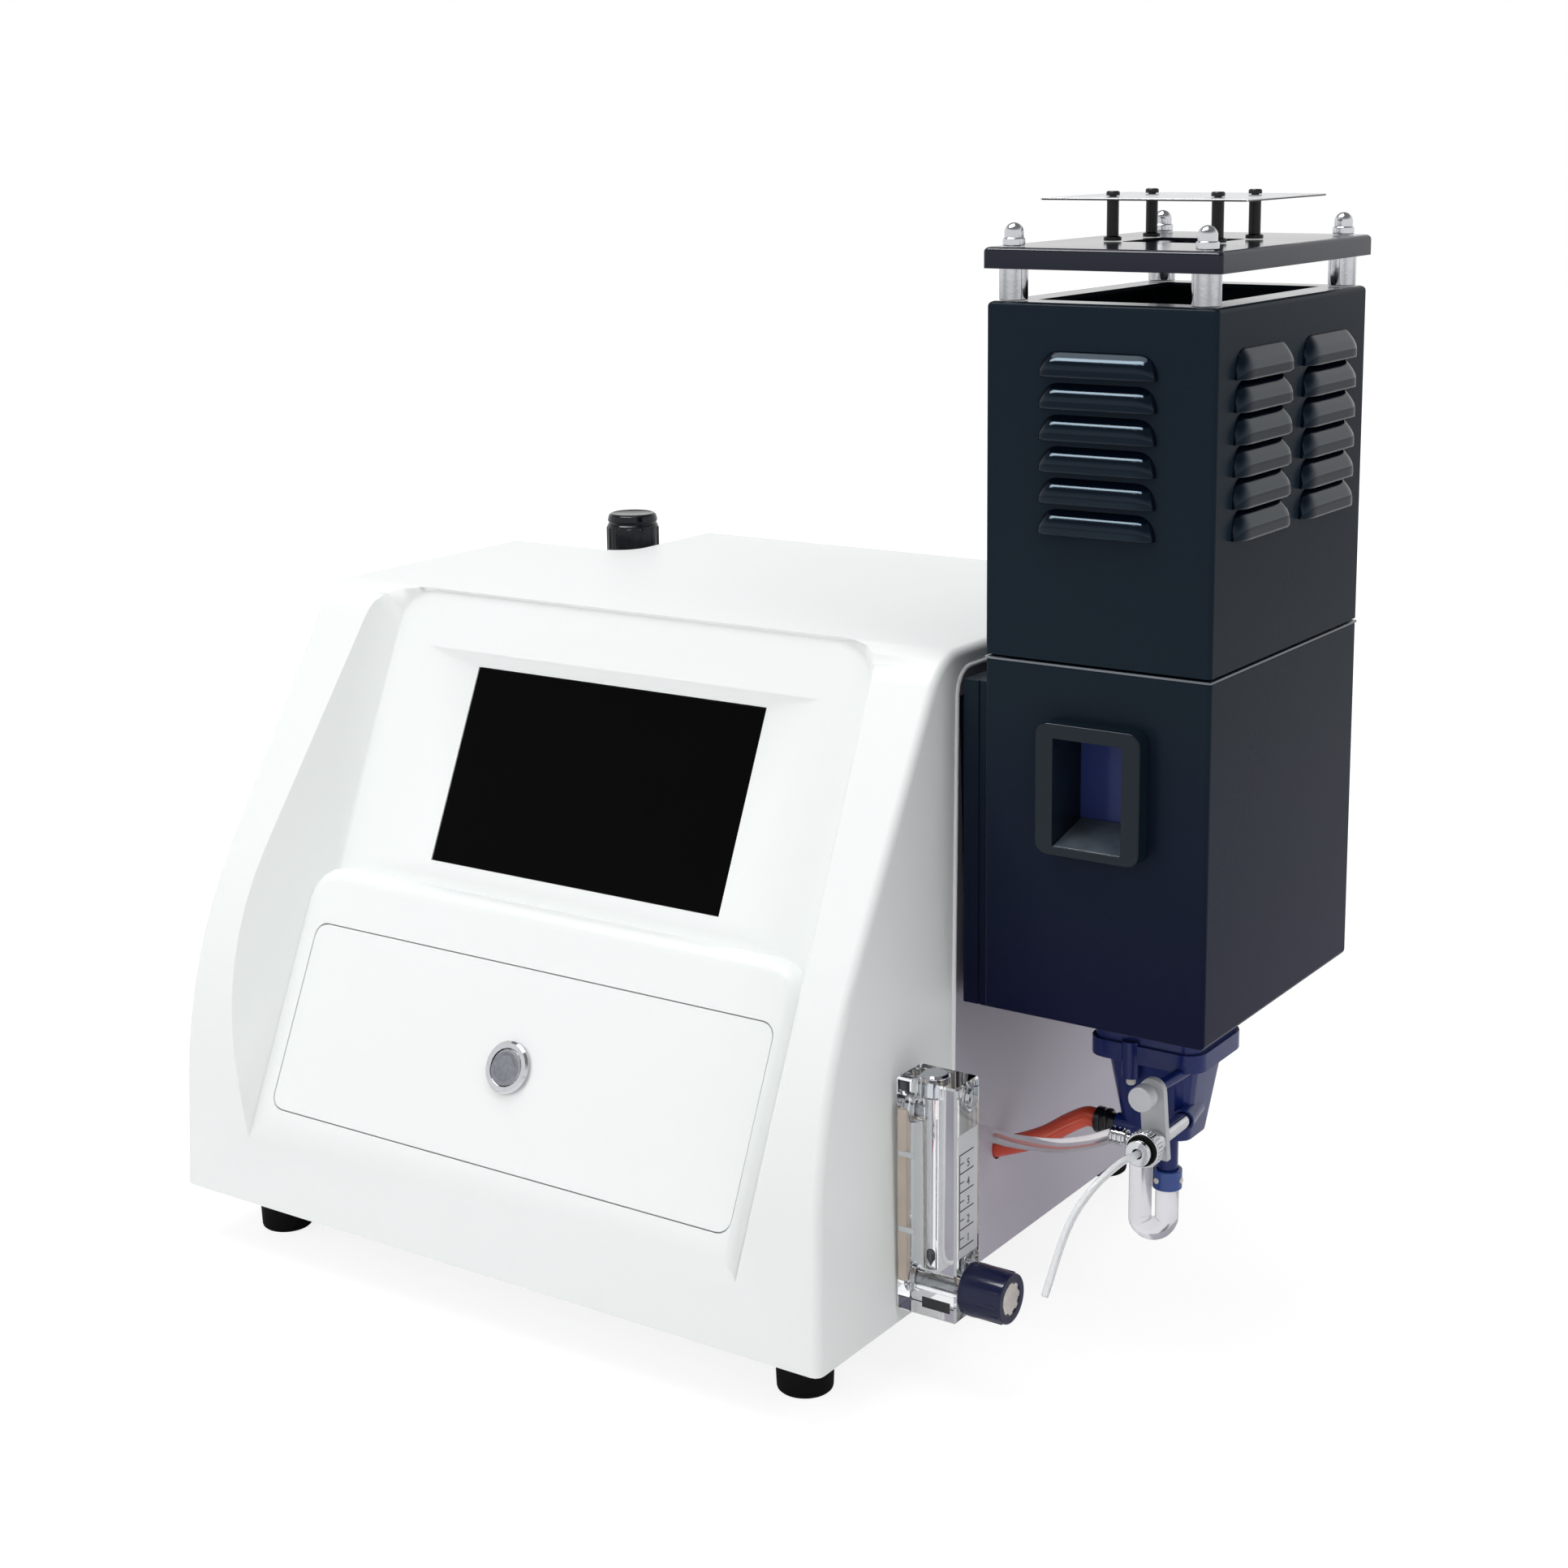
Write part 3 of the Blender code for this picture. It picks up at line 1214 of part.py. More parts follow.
def drain_trap():
    """Clear U tube under the drain spout, with the blue ring that holds it."""
    top = spout_foot_z - gap
    ring = [(spout_radius + gap, ring_top_z), (ring_radius, ring_top_z), (ring_radius, ring_foot_z),
            (trap_radius + gap, ring_foot_z), (trap_radius + gap, top), (spout_radius + gap, top),
            (spout_radius + gap, ring_top_z)]
    turned("trap_ring", ring, (spout_x, spout_y, 0), (0, 0, 1), blue)
    shift = Vector((trap_shift_x, trap_shift_y, 0))
    bend = shift.length / 2
    start = Vector((spout_x, spout_y, 0))
    along = shift.normalized()
    bend_z = trap_foot_z + bend
    points = [start + Vector((0, 0, top - gap)), start + Vector((0, 0, (top + bend_z) / 2))]
    for i in range(trap_arc_points):
        angle = math.pi * i / (trap_arc_points - 1)
        points.append(start + along * (bend - bend * math.cos(angle)) + Vector((0, 0,
                bend_z - bend * math.sin(angle))))
    points += [start + shift + Vector((0, 0, (trap_far_z + bend_z) / 2)),
               start + shift + Vector((0, 0, trap_far_z))]
    pipe("drain_trap", points, trap_radius, clear, 3)


def gas_and_air_lines():
    """Orange gas tube with its fitting, clear air tube, and the sample capillary."""
    fitting = rod("gas_fitting", (fitting_face_x, port_y, port_z),
                  (port_face_x - fitting_neck_length, port_y, port_z), fitting_radius, black_plastic)
    join(fitting, rod("fitting_neck_tool", (port_face_x - fitting_neck_length - gap, port_y, port_z),
                      (port_face_x - gap, port_y, port_z), fitting_neck_radius))
    start = (gas_x + (gas_x - gas_turn_x), gas_y, gas_z + (gas_z - gas_turn_z))
    turn = (gas_turn_x, gas_y, gas_turn_z)
    end = (fitting_face_x - gap, port_y, port_z)
    route = [start, (gas_x, gas_y, gas_z), turn] + between(turn, end, gas_route_shares)
    pipe("gas_tube", smooth_route(route, gas_tube_radius * tube_step_share) + [end], gas_tube_radius,
         orange, 3)
    barb_tip = nebuliser_x - nebuliser_collar_radius - barb_length
    barb_y = nebuliser_front + nebuliser_collar_length / 2
    hole = (0, air_y, air_z)
    end = (barb_tip - gap, barb_y, nebuliser_z)
    route = [(tube_start_x, air_y, air_z), hole] + between(hole, end, air_route_shares)
    pipe("air_tube", smooth_route(route, air_tube_radius * tube_step_share) + [end], air_tube_radius, clear)
    capillary_radius = capillary_bore_radius - gap - gap / 2
    pipe("sample_capillary", smooth_route(capillary_route, capillary_radius * tube_step_share),
         capillary_radius,
         clear)


def flow_meter():
    """Clear block with a tapered bore, float, plug, needle valve, outlet and knob."""
    middle_y = meter_front + meter_depth / 2
    top = meter_foot_z + meter_height
    body = block("flow_block", (meter_left, meter_front, meter_foot_z),
                 (meter_left + meter_width, meter_front + meter_depth, top), clear)
    soften(body, meter_chamfer, 1)
    cut(body, rod("bore_tool", (bore_x, middle_y, bore_foot_z), (bore_x, middle_y, top + gap),
                  bore_foot_radius,
                  None, bore_top_radius))
    cut(body, rod("plug_seat_tool", (bore_x, middle_y, top - plug_depth), (bore_x, middle_y, top + overrun),
                  plug_radius + gap))
    cut(body, rod("valve_hole_tool", (meter_left - overrun, middle_y, valve_z),
                  (meter_left + meter_width + overrun, middle_y, valve_z), valve_radius + gap))
    cut(body, rod("outlet_hole_tool", (meter_left - overrun, middle_y, outlet_z),
                  (bore_x - bore_foot_radius / 2, middle_y, outlet_z), valve_radius + gap))
    turned("flow_plug", [(0, top + plug_rise), (plug_radius - meter_chamfer, top + plug_rise),
                         (plug_radius, top + plug_rise - meter_chamfer),
                         (plug_radius, top - plug_depth + gap),
                         (0, top - plug_depth + gap)], (bore_x, middle_y, 0), (0, 0, 1), bright, datum,
           coarse_steps)
    foot = bore_foot_z + gap
    turned("flow_float", [(0, foot + float_height), (float_radius, foot + float_height),
                          (float_radius, foot + float_height * float_cone_share), (gap, foot), (0, foot)],
           (bore_x, middle_y, 0), (0, 0, 1), black_plastic, datum, coarse_steps)
    valve = rod("valve_body", (valve_inner_x, middle_y, valve_z), (valve_tip_x, middle_y, valve_z),
                valve_radius, steel)
    outlet = rod("flow_outlet", (valve_inner_x, middle_y, outlet_z), (outlet_tip_x, middle_y, outlet_z),
                 valve_radius,
                 steel)
    for stem, z in ((valve, valve_z), (outlet, outlet_z)):
        join(stem, rod(stem.name + "_nut_tool", (stem_nut_x, middle_y, z),
                       (stem_nut_x + stem_nut_length, middle_y, z),
                       stem_nut_radius, None, None, datum, hex_sides))
    knob = rod("valve_knob", (knob_start_x, middle_y, valve_z),
               (knob_start_x + knob_length, middle_y, valve_z),
               knob_radius, navy, None, datum, fine_steps)
    soften(knob, meter_chamfer, 2, math.radians(60))
    for i in range(knob_grips):
        angle = 2 * math.pi * i / knob_grips
        grip = knob_radius * knob_grip_share
        y = middle_y + (knob_radius + grip / 2) * math.cos(angle)
        z = valve_z + (knob_radius + grip / 2) * math.sin(angle)
        cut(knob, rod("grip_tool_%d" % i, (knob_start_x + knob_length / 4, y, z),
                      (knob_start_x + knob_length + overrun, y, z), grip, None, None, datum, groove_sides))
    cut(knob, rod("knob_bore_tool", (knob_start_x - overrun, middle_y, valve_z),
                  (knob_start_x + knob_bore_depth, middle_y, valve_z), valve_radius + gap))


def filter_regulator():
    """Air filter regulator standing in the rear notch, with its fluted knob."""
    half = regulator_body_size / 2
    body = block("regulator_body", (regulator_x - half, regulator_y - half, regulator_body_foot),
                 (regulator_x + half, regulator_y + half, regulator_body_top), aluminium)
    soften(body, regulator_knob_round / 2, 2)
    join(body, rod("bonnet_tool", (regulator_x, regulator_y, regulator_body_top - gap),
                   (regulator_x, regulator_y, regulator_bonnet_top), regulator_bonnet_radius))
    wall_x = notch_width - housing_width - gap
    port_z_mid = (regulator_body_foot + regulator_body_top) / 2
    join(body, rod("regulator_port_tool", (regulator_x, regulator_y, port_z_mid),
                   (wall_x, regulator_y, port_z_mid),
                   regulator_port_radius))
    top = regulator_body_foot - gap
    turned("filter_bowl", [(0, top), (bowl_radius, top), (bowl_radius, bowl_foot_z + bowl_dome),
                           (bowl_radius - bowl_dome, bowl_foot_z), (drain_cock_radius, bowl_foot_z),
                           (drain_cock_radius, bowl_foot_z - drain_cock_reach),
                           (0, bowl_foot_z - drain_cock_reach)],
           (regulator_x, regulator_y, 0), (0, 0, 1), clear, datum, coarse_steps)
    foot = regulator_bonnet_top + gap
    knob = rod("regulator_knob", (regulator_x, regulator_y, foot),
               (regulator_x, regulator_y, regulator_knob_top),
               regulator_knob_radius, black_plastic, None, datum, fine_steps)
    soften(knob, regulator_knob_round, 3, math.radians(60))
    for i in range(regulator_flutes):
        angle = 2 * math.pi * i / regulator_flutes
        x = regulator_x + (regulator_knob_radius + regulator_flute_radius / 3) * math.cos(angle)
        y = regulator_y + (regulator_knob_radius + regulator_flute_radius / 3) * math.sin(angle)
        cut(knob, rod("flute_tool_%d" % i, (x, y, foot + regulator_knob_round),
                      (x, y, regulator_knob_top + overrun),
                      regulator_flute_radius, None, None, datum, groove_sides))


def rear_fittings():
    """Mains inlet with its rocker switch, and the gas inlet."""
    plate_y = housing_depth - housing_wall
    face_y = plate_y - gap
    low, high = about(inlet_x, inlet_z, inlet_width / 2, inlet_height / 2)
    inner_low, inner_high = about(inlet_x, inlet_z, inlet_width / 2 - inlet_flange,
                                  inlet_height / 2 - inlet_flange)
    inlet = block("mains_inlet", (inner_low[0], plate_y - inlet_depth, inner_low[1]),
                  (inner_high[0], plate_y + gap, inner_high[1]), black_plastic)
    join(inlet, soften(block("inlet_flange_tool", (low[0], plate_y, low[1]),
                             (high[0], plate_y + inlet_flange, high[1])),
                       inlet_flange / 3, 1))
    socket_z = inlet_z - rocker_offset
    outline = rounded_rectangle(*about(inlet_x, socket_z, inlet_socket_width / 2, inlet_socket_height / 2),
                                inlet_flange)
    outer_y = plate_y + inlet_flange
    cut(inlet, prism("socket_tool", outline, outer_y - inlet_socket_depth, outer_y + overrun, "Y"))
    rocker_z = inlet_z + rocker_offset
    clear_half = (rocker_width / 2 + gap, rocker_height / 2 + gap * 2)
    cut(inlet, block("rocker_well_tool", (inlet_x - clear_half[0],
                                          outer_y - rocker_thickness * rocker_well_share,
                                          rocker_z - clear_half[1]),
                     (inlet_x + clear_half[0], outer_y + overrun, rocker_z + clear_half[1])))
    pivot_y = outer_y - rocker_pivot_depth
    half = rocker_height / 2 - gap * 2
    crown = rocker_pivot_depth + half * math.tan(rocker_tilt)
    tilt = math.tan(rocker_tilt)
    back = -rocker_thickness * rocker_back_share
    foot = half * rocker_foot_share
    outline = [(-rocker_thickness / 4, -half), (rocker_pivot_depth / 2 - half * tilt / 4, -half),
               (rocker_pivot_depth / 2, 0), (crown + half * tilt / 2, half), (0, half), (back, foot),
               (back, -foot)]
    rocker = prism("power_switch", outline, -rocker_width / 2, rocker_width / 2, "X", black_plastic)
    rocker.location = (inlet_x, pivot_y, rocker_z)
    hex_y = face_y + gap
    barb = rod("gas_inlet", (gas_inlet_x, plate_y - gas_inlet_tail, gas_inlet_z),
               (gas_inlet_x, hex_y + rear_reach, gas_inlet_z), gas_inlet_radius, brass)
    join(barb, rod("hex_tool", (gas_inlet_x, hex_y, gas_inlet_z),
                   (gas_inlet_x, hex_y + gas_inlet_hex_height, gas_inlet_z),
                   gas_inlet_hex_radius, None, None, datum, hex_sides))


def inner_pieces():
    """Optics on their column, main board and power supply, all on the base plate."""
    floor = base_height + plate_thickness + gap
    head_low = (optics_x - optics_length, optics_y - optics_width / 2, optics_z - optics_drop)
    head_high = (optics_x, optics_y + optics_width / 2, housing_height - optics_headroom)
    optics = block("optics_block", head_low, head_high, black_plastic)
    column_x = optics_x - optics_length / 2
    join(optics, block("column_tool", (column_x - optics_column_depth / 2,
                                       optics_y - optics_column_width / 2, floor),
                       (column_x + optics_column_depth / 2, optics_y + optics_column_width / 2,
                        optics_z - optics_drop / 2)))
    join(optics, rod("snout_tool", (optics_x - optics_snout_length, optics_y, optics_z),
                     (optics_x + optics_snout_length, optics_y, optics_z), optics_snout_radius))
    deck = floor + board_pillar_height
    board = block("main_board", (board_x, board_y, deck), (board_x + board_width, board_y + board_depth,
                                                           deck + board_thickness), green_board)
    for i, (sx, sy) in enumerate(((0, 0), (1, 0), (0, 1), (1, 1))):
        x = board_x + board_margin + sx * (board_width - 2 * board_margin)
        y = board_y + board_margin + sy * (board_depth - 2 * board_margin)
        join(board, rod("board_pillar_tool_%d" % i, (x, y, floor), (x, y, deck + gap), board_pillar_radius,
                        None, None,
                        datum, groove_sides))
    chip_x, chip_y = board_x + board_width / 2, board_y + board_depth / 2
    join(board, block("chip_tool", (chip_x - board_chip / 2, chip_y - board_chip / 2, deck + gap),
                      (chip_x + board_chip / 2, chip_y + board_chip / 2,
                       deck + board_thickness + board_chip_height)))
    block("power_supply", (supply_x, supply_y, floor),
          (supply_x + supply_width, supply_y + supply_depth, floor + supply_height), steel)


housing_cover()
chassis()
display()
insert_and_button()
lower_chimney()
mount_duct()
upper_chimney()
lid_and_deflector()
viewing_window()
mixing_chamber()
burner_head()
nebuliser()
drain_trap()
gas_and_air_lines()
flow_meter()
filter_regulator()
rear_fittings()
inner_pieces()
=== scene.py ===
import math
import bmesh
import bpy
from mathutils import Matrix, Vector
from mathutils.geometry import convex_hull_2d


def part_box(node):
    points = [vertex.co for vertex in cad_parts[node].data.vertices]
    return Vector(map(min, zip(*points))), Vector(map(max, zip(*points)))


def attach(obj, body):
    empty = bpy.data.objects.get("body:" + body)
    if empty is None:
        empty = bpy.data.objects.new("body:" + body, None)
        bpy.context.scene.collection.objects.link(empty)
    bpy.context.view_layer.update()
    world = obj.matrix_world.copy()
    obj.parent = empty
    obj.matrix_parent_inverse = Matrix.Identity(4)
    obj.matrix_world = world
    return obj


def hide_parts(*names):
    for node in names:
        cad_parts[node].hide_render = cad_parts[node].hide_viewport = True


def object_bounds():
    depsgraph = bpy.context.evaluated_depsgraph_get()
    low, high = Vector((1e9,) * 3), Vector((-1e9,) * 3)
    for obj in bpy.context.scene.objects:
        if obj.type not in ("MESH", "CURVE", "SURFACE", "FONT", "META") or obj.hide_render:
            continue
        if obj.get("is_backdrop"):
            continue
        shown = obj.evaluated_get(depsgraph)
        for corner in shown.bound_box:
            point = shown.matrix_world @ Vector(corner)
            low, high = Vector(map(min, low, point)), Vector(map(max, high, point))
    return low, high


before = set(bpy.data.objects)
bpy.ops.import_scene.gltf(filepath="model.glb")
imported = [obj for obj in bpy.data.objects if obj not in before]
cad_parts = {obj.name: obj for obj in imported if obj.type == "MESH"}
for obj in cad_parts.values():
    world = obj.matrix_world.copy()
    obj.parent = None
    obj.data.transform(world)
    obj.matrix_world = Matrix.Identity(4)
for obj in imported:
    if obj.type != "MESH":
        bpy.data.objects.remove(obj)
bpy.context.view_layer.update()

scene = bpy.context.scene
scene.view_settings.view_transform = "Standard"


# Camera
# It looks at the instrument from the right front and a little above, through a long lens.
# Its place is measured from the housing's right front bottom corner.
cover_low, cover_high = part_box("housing_cover")
corner = Vector((cover_high.x, cover_low.y, cover_low.z))
camera_reach = Vector((0.49109, -0.73673, 0.46232))
camera_yaw = math.radians(34.3)
camera_pitch = math.radians(11.25)
camera_roll = math.radians(-0.69)
camera_lens = 59.077
camera_film = 36
camera_shift = -0.0999
forward = Vector((-math.sin(camera_yaw) * math.cos(camera_pitch),
                  math.cos(camera_yaw) * math.cos(camera_pitch), -math.sin(camera_pitch)))
level = Vector((math.cos(camera_yaw), math.sin(camera_yaw), 0))
upright = level.cross(forward)
across = level * math.cos(camera_roll) + upright * math.sin(camera_roll)
top = upright * math.cos(camera_roll) - level * math.sin(camera_roll)
camera_data = bpy.data.cameras.new("camera")
camera_data.lens = camera_lens
camera_data.sensor_width = camera_film
camera_data.shift_y = camera_shift
camera = bpy.data.objects.new("camera", camera_data)
turn = Matrix((across, top, -forward)).transposed().to_4x4()
camera.matrix_world = Matrix.Translation(corner + camera_reach) @ turn
scene.collection.objects.link(camera)
scene.camera = camera


# Studio
# A white floor under broad soft lamps. The surround lights dimly, but the camera, gloss and clear
# plastic see it white, gloss with a darker ceiling. The floor's shadow fades out into the white.
ambient_light = 0.53
ceiling_light = 0.25
ceiling_start = 0.30
ceiling_full = 0.65
shadow_share = 0.30
floor_glow = 1.20
floor_white = 0.95
floor_half = 6.0
shadow_reach = 0.75
shadow_fade = 0.45


def node_maker(tree):
    """A function that adds a node to the emptied tree, with values for its sockets and its settings."""
    tree.nodes.clear()

    def node(kind, values=None, **settings):
        made = tree.nodes.new(kind)
        for key, value in settings.items():
            setattr(made, key, value)
        for socket, value in (values or {}).items():
            made.inputs[socket].default_value = value
        return made
    return node


def wire(tree, links):
    """For each row, a link from a node's output to another node's input, by name or number."""
    for source, output, target, entry in links:
        tree.links.new(source.outputs[output], target.inputs[entry])


def sockets(tree, side, kind, *names):
    """Named sockets of one kind on one side of a node group."""
    for name in names:
        tree.interface.new_socket(name, in_out=side, socket_type="NodeSocket" + kind)


world = bpy.data.worlds.new("studio")
world.use_nodes = True
node = node_maker(world.node_tree)
rays = node("ShaderNodeLightPath")
heading = node("ShaderNodeTexCoord")
heights = node("ShaderNodeSeparateXYZ")
ceiling = node("ShaderNodeMapRange", {"From Min": ceiling_start, "From Max": ceiling_full,
                                      "To Min": 1 - ambient_light,
                                      "To Max": ceiling_light - ambient_light}, clamp=True)
seen = node("ShaderNodeMath", operation="MAXIMUM")
strength = node("ShaderNodeMath", {1: 1 - ambient_light, 2: ambient_light}, operation="MULTIPLY_ADD")
mirrored = node("ShaderNodeMath", operation="SUBTRACT", use_clamp=True)
total = node("ShaderNodeMath", operation="MULTIPLY_ADD")
sky = node("ShaderNodeBackground", {"Color": (1, 1, 1, 1)})
out = node("ShaderNodeOutputWorld")
wire(world.node_tree, (
    (heading, "Generated", heights, 0), (heights, "Z", ceiling, "Value"), (rays, "Is Camera Ray", seen, 0),
    (rays, "Is Transmission Ray", seen, 1), (seen, 0, strength, 0), (rays, "Is Glossy Ray", mirrored, 0),
    (rays, "Is Transmission Ray", mirrored, 1), (mirrored, 0, total, 0), (ceiling, "Result", total, 1),
    (strength, 0, total, 2), (total, 0, sky, "Strength"), (sky, 0, out, "Surface")))
scene.world = world

floor_mesh = bpy.data.meshes.new("floor")
floor_corners = [(x * floor_half, y * floor_half, 0) for x, y in ((-1, -1), (1, -1), (1, 1), (-1, 1))]
floor_mesh.from_pydata(floor_corners, [], [range(4)])
floor = bpy.data.objects.new("floor", floor_mesh)
scene.collection.objects.link(floor)
paper = bpy.data.materials.new("floor_paper")
paper.use_nodes = True
node = node_maker(paper.node_tree)
rays = node("ShaderNodeLightPath")
seen = node("ShaderNodeMath", operation="MAXIMUM")
place = node("ShaderNodeTexCoord")
distance = node("ShaderNodeVectorMath", operation="LENGTH")
near = node("ShaderNodeMapRange", {"From Min": shadow_fade, "From Max": shadow_reach,
                                   "To Min": 1 - shadow_share, "To Max": 1}, clamp=True)
glow_share = node("ShaderNodeMath", operation="MULTIPLY")
shade = node("ShaderNodeBsdfDiffuse", {"Color": (floor_white, floor_white, floor_white, 1)})
glow = node("ShaderNodeEmission", {"Strength": floor_glow})
mix = node("ShaderNodeMixShader")
out = node("ShaderNodeOutputMaterial")
wire(paper.node_tree, (
    (rays, "Is Camera Ray", seen, 0), (rays, "Is Transmission Ray", seen, 1), (place, "Object", distance, 0),
    (distance, "Value", near, "Value"), (near, "Result", glow_share, 1), (seen, 0, glow_share, 0),
    (glow_share, 0, mix, 0), (shade, 0, mix, 1), (glow, 0, mix, 2), (mix, 0, out, "Surface")))
floor.data.materials.append(paper)
floor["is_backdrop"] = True


def lamp(name, place, aim, size, power, mirrored=True, lighting=True):
    """A soft lamp that faces a point. It can be left out of the gloss, or serve the gloss alone."""
    data = bpy.data.lights.new(name, "AREA")
    data.shape = "RECTANGLE"
    data.size, data.size_y = size
    data.energy = power
    light = bpy.data.objects.new(name, data)
    light.location = place
    light.rotation_euler = (Vector(aim) - Vector(place)).to_track_quat("-Z", "Y").to_euler()
    light.visible_glossy = mirrored
    light.visible_diffuse = lighting
    scene.collection.objects.link(light)


lamp("front_lamp", (-1.3, -1.9, 1.1), aim=(-0.05, 0, 0.15), size=(1.3, 1.3), power=13.1, mirrored=False)
lamp("top_lamp", (-0.3, -0.2, 1.9), aim=(0, 0, 0.2), size=(1.2, 1.2), power=16)
lamp("right_lamp", (1.7, -0.5, 1.5), aim=(0.15, 0, 0.25), size=(0.8, 0.8), power=7, mirrored=False)
lamp("strip_lamp", (-0.45, -0.6, 1.75), aim=(-0.45, 0, 0.3), size=(1.3, 0.30), power=22, lighting=False)


# Sample capillary
# A thin clear plastic tube that leaves the nebuliser's nut and hangs in a curve towards the bench.
# Its end is cut off plain, because it dips into the sample cup.
capillary_radius = 0.00145
capillary_points = ((0.0810, 0.1035, 0.0730), (0.0810, 0.0975, 0.0730), (0.0790, 0.0880, 0.0725),
                    (0.0740, 0.0750, 0.0655), (0.0685, 0.0665, 0.0520), (0.0626, 0.0600, 0.0258))


def smooth_line(points, samples=6):
    """A smooth curve through a route's points, which are measured from the corner."""
    knots = [corner + Vector(point) for point in points]
    ends = [2 * knots[0] - knots[1]] + knots + [2 * knots[-1] - knots[-2]]
    line = []
    for a, b, c, d in zip(ends, ends[1:], ends[2:], ends[3:]):
        for i in range(samples):
            t = i / samples
            line.append(0.5 * (2 * b + (c - a) * t + (2 * a - 5 * b + 4 * c - d) * t ** 2
                               + (3 * b - a - 3 * c + d) * t ** 3))
    return line + [knots[-1]]


def tube(name, line, radius, resolution=6):
    """A round tube along a line, with closed ends."""
    data = bpy.data.curves.new(name, "CURVE")
    data.dimensions = "3D"
    data.bevel_depth = radius
    data.bevel_resolution = resolution
    data.use_fill_caps = True
    spline = data.splines.new("POLY")
    spline.points.add(len(line) - 1)
    for knot, point in zip(spline.points, line):
        knot.co = (*point, 1)
    piece = bpy.data.objects.new(name, data)
    scene.collection.objects.link(piece)
    return piece


def mottle():
    """Shared effect: a slow change of colour and gloss, a change of colour with height for painted shade and
    reflection, and a fine grain.
    """
    group = bpy.data.node_groups.new("mottle", "ShaderNodeTree")
    sockets(group, "INPUT", "Color", "Colour", "Second colour", "Foot colour")
    sockets(group, "INPUT", "Float", "Patch size", "Foot height", "Head height", "Roughness",
            "Roughness change", "Grain size", "Grain height")
    sockets(group, "INPUT", "Vector", "Grain stretch")
    sockets(group, "OUTPUT", "Color", "Colour")
    sockets(group, "OUTPUT", "Float", "Roughness")
    sockets(group, "OUTPUT", "Vector", "Normal")
    node = node_maker(group)
    given = node("NodeGroupInput")
    result = node("NodeGroupOutput")
    place = node("ShaderNodeTexCoord")
    patch_scale = node("ShaderNodeMath", {0: 1}, operation="DIVIDE")
    patches = node("ShaderNodeTexNoise")
    blend = node("ShaderNodeMix", data_type="RGBA")
    heights = node("ShaderNodeSeparateXYZ")
    rise = node("ShaderNodeMapRange")
    fade = node("ShaderNodeMix", data_type="RGBA")
    uneven = node("ShaderNodeMath", {1: 0.5}, operation="SUBTRACT")
    gloss = node("ShaderNodeMath", operation="MULTIPLY_ADD")
    grain_scale = node("ShaderNodeMath", {0: 1}, operation="DIVIDE")
    stretch = node("ShaderNodeVectorMath", operation="MULTIPLY")
    grain = node("ShaderNodeTexNoise")
    bump = node("ShaderNodeBump")
    wire(group, (
        (given, "Patch size", patch_scale, 1), (place, "Object", patches, "Vector"),
        (patch_scale, 0, patches, "Scale"), (patches, 0, blend, "Factor"), (given, "Colour", blend, "A"),
        (given, "Second colour", blend, "B"), (place, "Object", heights, 0), (heights, "Z", rise, "Value"),
        (given, "Foot height", rise, "From Min"), (given, "Head height", rise, "From Max"),
        (rise, "Result", fade, "Factor"), (given, "Foot colour", fade, "A"), (blend, "Result", fade, "B"),
        (fade, "Result", result, "Colour"), (patches, 0, uneven, 0), (uneven, 0, gloss, 0),
        (given, "Roughness change", gloss, 1), (given, "Roughness", gloss, 2),
        (gloss, 0, result, "Roughness"), (given, "Grain size", grain_scale, 1), (place, "Object", stretch, 0),
        (given, "Grain stretch", stretch, 1), (stretch, 0, grain, "Vector"), (grain_scale, 0, grain, "Scale"),
        (grain, 0, bump, "Height"), (given, "Grain height", bump, "Distance"), (bump, 0, result, "Normal")))
    return group


mottle_group = mottle()


def surface(name, colour, second, roughness, patch=0.05, change=0.06, grain=0.0006, height=0.00001,
            stretch=(1, 1, 1), foot=None, foot_z=-2.0, head_z=-1.0, **constants):
    """A material with the shared mottle on its shader, and its constants on the shader's own sockets."""
    material = bpy.data.materials.new(name)
    material.use_nodes = True
    tree = material.node_tree
    shader = tree.nodes["Principled BSDF"]
    effect = tree.nodes.new("ShaderNodeGroup")
    effect.node_tree = mottle_group
    for socket, value in (("Colour", (*colour, 1)), ("Second colour", (*second, 1)),
                          ("Foot colour", (*(foot or colour), 1)), ("Foot height", foot_z),
                          ("Head height", head_z), ("Patch size", patch), ("Roughness", roughness),
                          ("Roughness change", change), ("Grain size", grain), ("Grain stretch", stretch),
                          ("Grain height", height)):
        effect.inputs[socket].default_value = value
    tree.links.new(effect.outputs["Colour"], shader.inputs["Base Color"])
    tree.links.new(effect.outputs["Roughness"], shader.inputs["Roughness"])
    tree.links.new(effect.outputs["Normal"], shader.inputs["Normal"])
    for socket, value in constants.items():
        shader.inputs[socket.replace("_", " ")].default_value = value
    return material


capillary_line = smooth_line(capillary_points)
capillary = tube("sample_capillary_tube", capillary_line, capillary_radius)
capillary.data.materials.append(
    surface("capillary_plastic", (0.93, 0.94, 0.95), (0.84, 0.86, 0.88), 0.14, patch=0.006, grain=0.002,
            Transmission_Weight=0.55, IOR=1.38))
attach(capillary, "instrument")
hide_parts("sample_capillary")


# Housing cover
# One white moulded shell: drafted sides, a long front curve, a flared display recess with its ridge
# and a pocket for the screen. Its skin is a fine satin, and the recess's rim is softly rounded.
weld = 0.00001
face_lean = math.radians(24.5)
face_foot = corner + Vector((-0.1677, 0.06295, 0.1485))
recess_half = 0.125
recess_flare = 0.66
recess_head = 0.1175
rim_start = 0.0095
rim_rounding = 0.0024
rim_match = 0.00025
rim_angle = math.radians(12)


